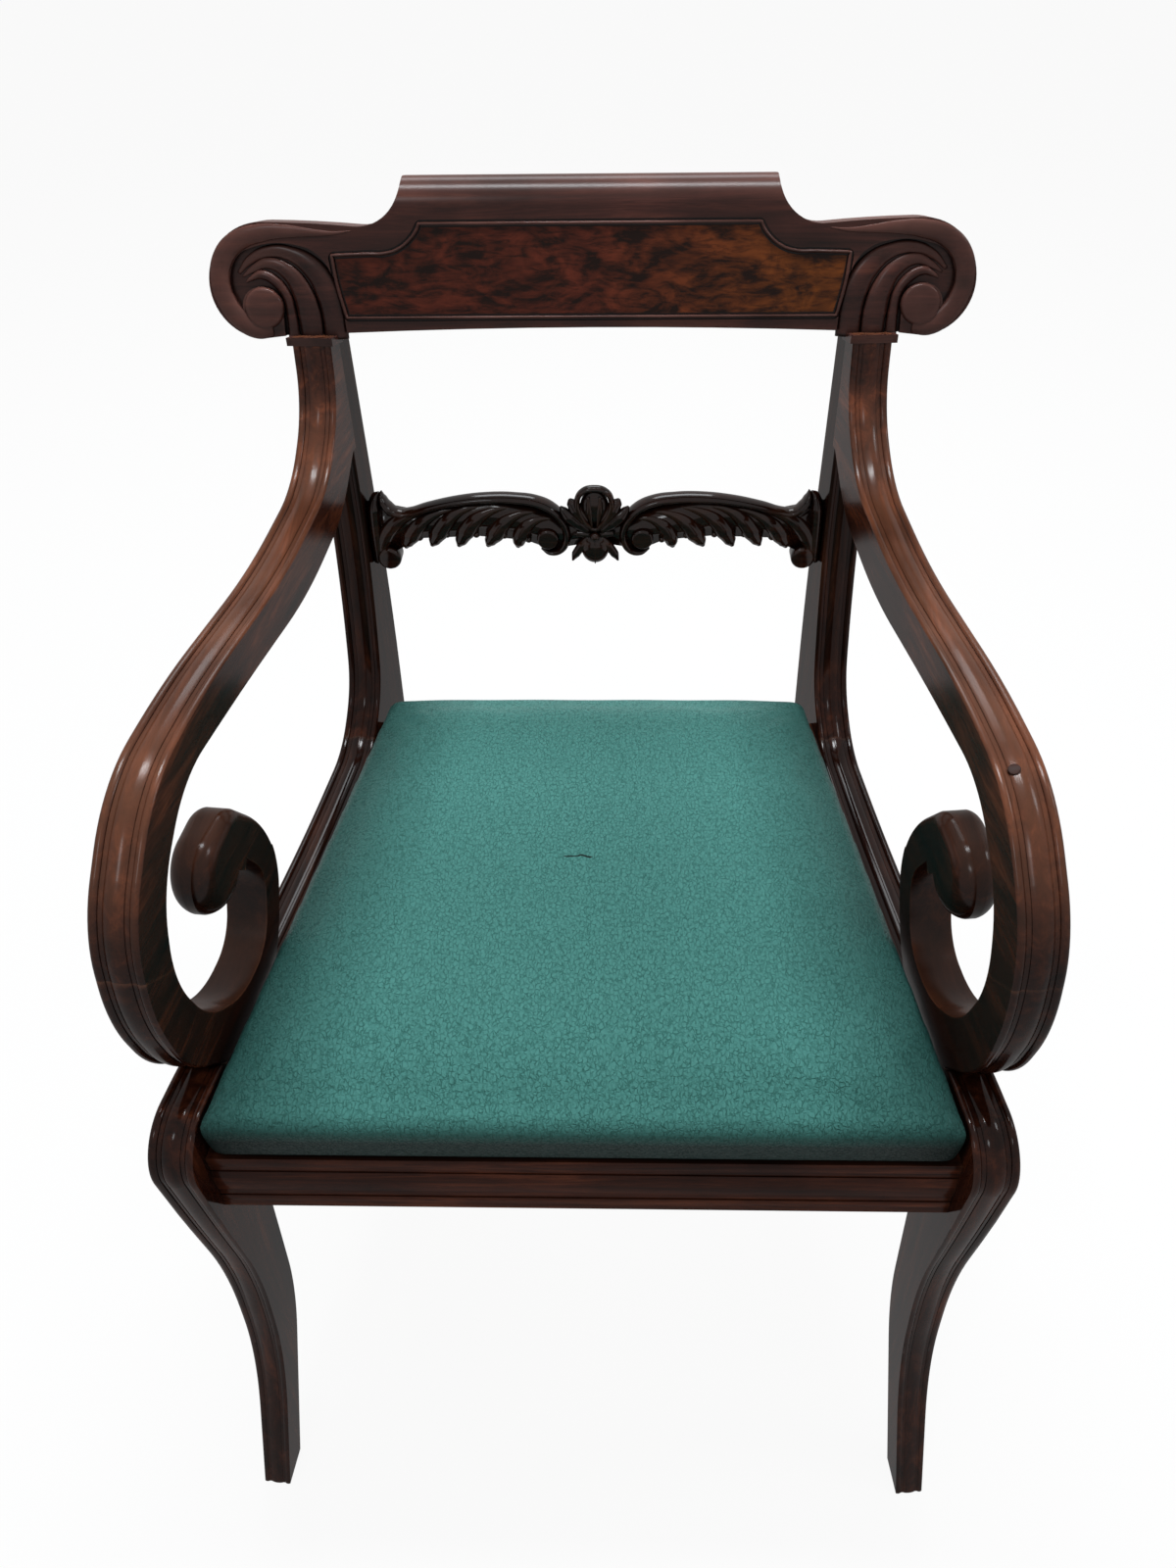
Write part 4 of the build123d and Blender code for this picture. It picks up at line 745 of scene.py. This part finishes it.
class CHAIR_OT_seat(bpy.types.Operator):
    """Green leathercloth drop-in seat"""
    bl_idname = "chair.seat"
    bl_label = "Drop-in seat"

    DRAW = 0.0010          # the form starts this far inside the CAD's cover
    CORNER_ROUND = 0.0055
    BRIM_ROUND = 0.008
    VOXEL = 0.0045         # size of the even faces that the simulation moves
    HELD = 0.010           # height of the cover that is nailed to the seat frame
    BULGE_REACH = 0.03     # distance inside the edge over which the bulge dies out
    DENT_LINE = 0.022      # distance of the dents inside the edge
    DENT_PITCH = 0.09
    SAG = 0.0012           # how far the cloth under the seat hangs in the middle

    def execute(self, context):
        sizes = context.scene.chair_seat
        low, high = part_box("seat_cover")
        mesh = self.stuffed_form(sizes, Vector(low), Vector(high))
        made = add_object("seat_pad", mesh)
        self.swell(context, made, sizes)
        self.open_under(made.data, sizes, Vector(low), Vector(high))
        cloth = leathercloth("leathercloth", tuple(sizes.green), tuple(sizes.crease), tuple(sizes.scratch))
        made.data.materials.clear()
        made.data.materials.append(cloth)
        finer = made.modifiers.new("finer", "SUBSURF")
        finer.levels = finer.render_levels = 1
        skin = made.modifiers.new("skin", "SOLIDIFY")
        skin.thickness = sizes.cloth
        skin.offset = -1
        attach(made, SEAT_BODY)
        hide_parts("seat_cover", "seat_stuffing")
        self.under_cloth(sizes)
        jute = woven("jute_webbing", (0.36, 0.25, 0.13), (0.20, 0.13, 0.07), 0.003)
        dress(jute, "seat_webbing_long", "seat_webbing_cross")
        dress(woven("hessian", (0.42, 0.31, 0.18), (0.26, 0.18, 0.10), 0.002), "seat_hessian")
        return {"FINISHED"}

    def share(self, value):
        """A value kept between 0 and 1."""
        return min(1.0, max(0.0, value))

    def half_at(self, sizes, low, high, y):
        """Half of the seat's width at a place from front to back."""
        share = (y - low.y) / (high.y - low.y)
        return high.x + (sizes.back_half - high.x) * share

    def stuffed_form(self, sizes, low, high):
        """The closed form before the stuffing pushes."""
        solid = bmesh.new()
        front, back = high.x - self.DRAW, sizes.back_half - self.DRAW
        near, far = low.y + self.DRAW, high.y - self.DRAW
        outline = ((-front, near, low.z), (front, near, low.z), (back, far, low.z), (-back, far, low.z))
        thicken(solid, outline, sizes.side_height)
        bmesh.ops.recalc_face_normals(solid, faces=solid.faces)
        upright = [e for e in solid.edges if abs(e.verts[0].co.z - e.verts[1].co.z) > 0.01]
        round_over(solid, upright, self.CORNER_ROUND, 3)
        brim = [e for e in solid.edges if all(v.co.z > low.z + 0.02 for v in e.verts)]
        round_over(solid, brim, self.BRIM_ROUND, 4)
        mesh = bpy.data.meshes.new("seat_form")
        solid.to_mesh(mesh)
        solid.free()
        block = add_object("seat_form", mesh)
        even = block.modifiers.new("even", "REMESH")
        even.mode = "VOXEL"
        even.voxel_size = self.VOXEL
        mesh = shaped_mesh(block)
        for vertex in mesh.vertices:
            x, y, z = vertex.co
            lift = self.share((z - low.z - self.HELD) / (sizes.side_height - self.HELD))
            edges = (self.half_at(sizes, low, high, y) - abs(x), y - low.y, high.y - y)
            rise = 1.0
            for edge in edges:
                rise *= 1 - (1 - self.share(edge / sizes.roll)) ** 3
            border = max(0.0, 1 - abs(min(edges) - self.DENT_LINE) / self.DENT_LINE)
            dents = 0.5 + 0.5 * cos(2 * pi * (x + y) / self.DENT_PITCH)
            vertex.co.z += (sizes.crown * rise - sizes.pull * border * dents) * lift
            out = sizes.bulge * sin(pi / 2 * self.share((z - low.z) / (0.8 * sizes.side_height)))
            vertex.co.x += out * max(0.0, 1 - edges[0] / self.BULGE_REACH) * (1 if x > 0 else -1)
            vertex.co.y -= out * max(0.0, 1 - edges[1] / self.BULGE_REACH)
        return mesh

    def swell(self, context, made, sizes):
        """The stuffing pushes the cover out, as far as the cover lets it."""
        start = [vertex.co.copy() for vertex in made.data.vertices]
        floor = min(co.z for co in start)
        held = made.vertex_groups.new(name="held")
        held.add([i for i, co in enumerate(start) if co.z < floor + self.HELD], 1.0, "REPLACE")
        cloth = made.modifiers.new("stuffing", "CLOTH")
        cloth.settings.vertex_group_mass = "held"
        cloth.settings.use_pressure = True
        cloth.settings.uniform_pressure_force = sizes.pressure
        cloth.settings.effector_weights.gravity = 0
        scene = context.scene
        for step in range(1, sizes.steps + 1):
            scene.frame_set(step)
        swollen = made.evaluated_get(context.evaluated_depsgraph_get()).data
        ends = [vertex.co.copy() for vertex in swollen.vertices]
        made.modifiers.remove(cloth)
        made.vertex_groups.remove(held)
        scene.frame_set(1)
        for vertex, before, after in zip(made.data.vertices, start, ends):
            push = after - before
            most = sizes.side_swell + (sizes.swell - sizes.side_swell) * max(0.0, vertex.normal.z)
            if push.length > most:
                push *= most / push.length
            if push.dot(vertex.normal) < 0:
                push *= 0.1
            vertex.co = before + push

    def open_under(self, mesh, sizes, low, high):
        """Leave the underside open inside the turned-under edge."""
        solid = bmesh.new()
        solid.from_mesh(mesh)
        inside = []
        for face in solid.faces:
            x, y, z = face.calc_center_median()
            within = low.y + sizes.turn_under < y < high.y - sizes.turn_under
            if within and z < low.z + 0.004 and abs(x) < self.half_at(sizes, low, high, y) - sizes.turn_under:
                inside.append(face)
        bmesh.ops.delete(solid, geom=inside, context="FACES")
        for face in solid.faces:
            face.smooth = True
        solid.to_mesh(mesh)
        solid.free()

    def under_cloth(self, sizes):
        """The stretched cloth under the seat."""
        low, high = (Vector(corner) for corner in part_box("seat_bottoming"))
        cover_low, cover_high = (Vector(corner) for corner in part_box("seat_cover"))
        length = high.y - low.y
        solid = bmesh.new()
        bmesh.ops.create_grid(solid, x_segments=24, y_segments=24, size=0.5)
        back = high.x - (cover_high.x - sizes.back_half) * length / (cover_high.y - cover_low.y)
        for vertex in solid.verts:
            share = vertex.co.y + 0.5
            sag = self.SAG * (1 - (2 * vertex.co.x) ** 2) * (1 - (2 * vertex.co.y) ** 2)
            half = high.x + (back - high.x) * share
            vertex.co = (2 * half * vertex.co.x, low.y + length * share, high.z - sag)
        cotton = woven("black_cotton", (0.020, 0.020, 0.021), (0.010, 0.010, 0.011), 0.0012)
        made = piece("under_cloth", solid, cotton, SEAT_BODY, ("seat_bottoming",))


STEPS = (CHAIR_OT_stage, CHAIR_OT_polish, CHAIR_OT_volutes, CHAIR_OT_panel_bead, CHAIR_OT_arm_plug,
         CHAIR_OT_carved_rail, CHAIR_OT_seat)
GROUPS = {"chair_stage": ChairStage, "chair_wood": ChairWood, "chair_carving": ChairCarving,
          "chair_seat": ChairSeat}


class CHAIR_PT_steps(bpy.types.Panel):
    """The steps that dress the chair"""
    bl_idname = "CHAIR_PT_steps"
    bl_label = "Elbow chair"
    bl_space_type = "VIEW_3D"
    bl_region_type = "UI"
    bl_category = "Chair"

    def draw(self, context):
        for step in STEPS:
            self.layout.operator(step.bl_idname)


CLASSES = (*GROUPS.values(), *STEPS, CHAIR_PT_steps)


def register():
    for made in CLASSES:
        bpy.utils.register_class(made)
    for field, group in GROUPS.items():
        setattr(bpy.types.Scene, field, PointerProperty(type=group))


def unregister():
    for field in GROUPS:
        delattr(bpy.types.Scene, field)
    for made in reversed(CLASSES):
        bpy.utils.unregister_class(made)


def main():
    register()
    bpy.ops.chair.stage()
    bpy.ops.chair.polish()
    bpy.ops.chair.volutes()
    bpy.ops.chair.panel_bead()
    bpy.ops.chair.arm_plug()
    bpy.ops.chair.carved_rail()
    bpy.ops.chair.seat()


if __name__ == "__main__":
    main()
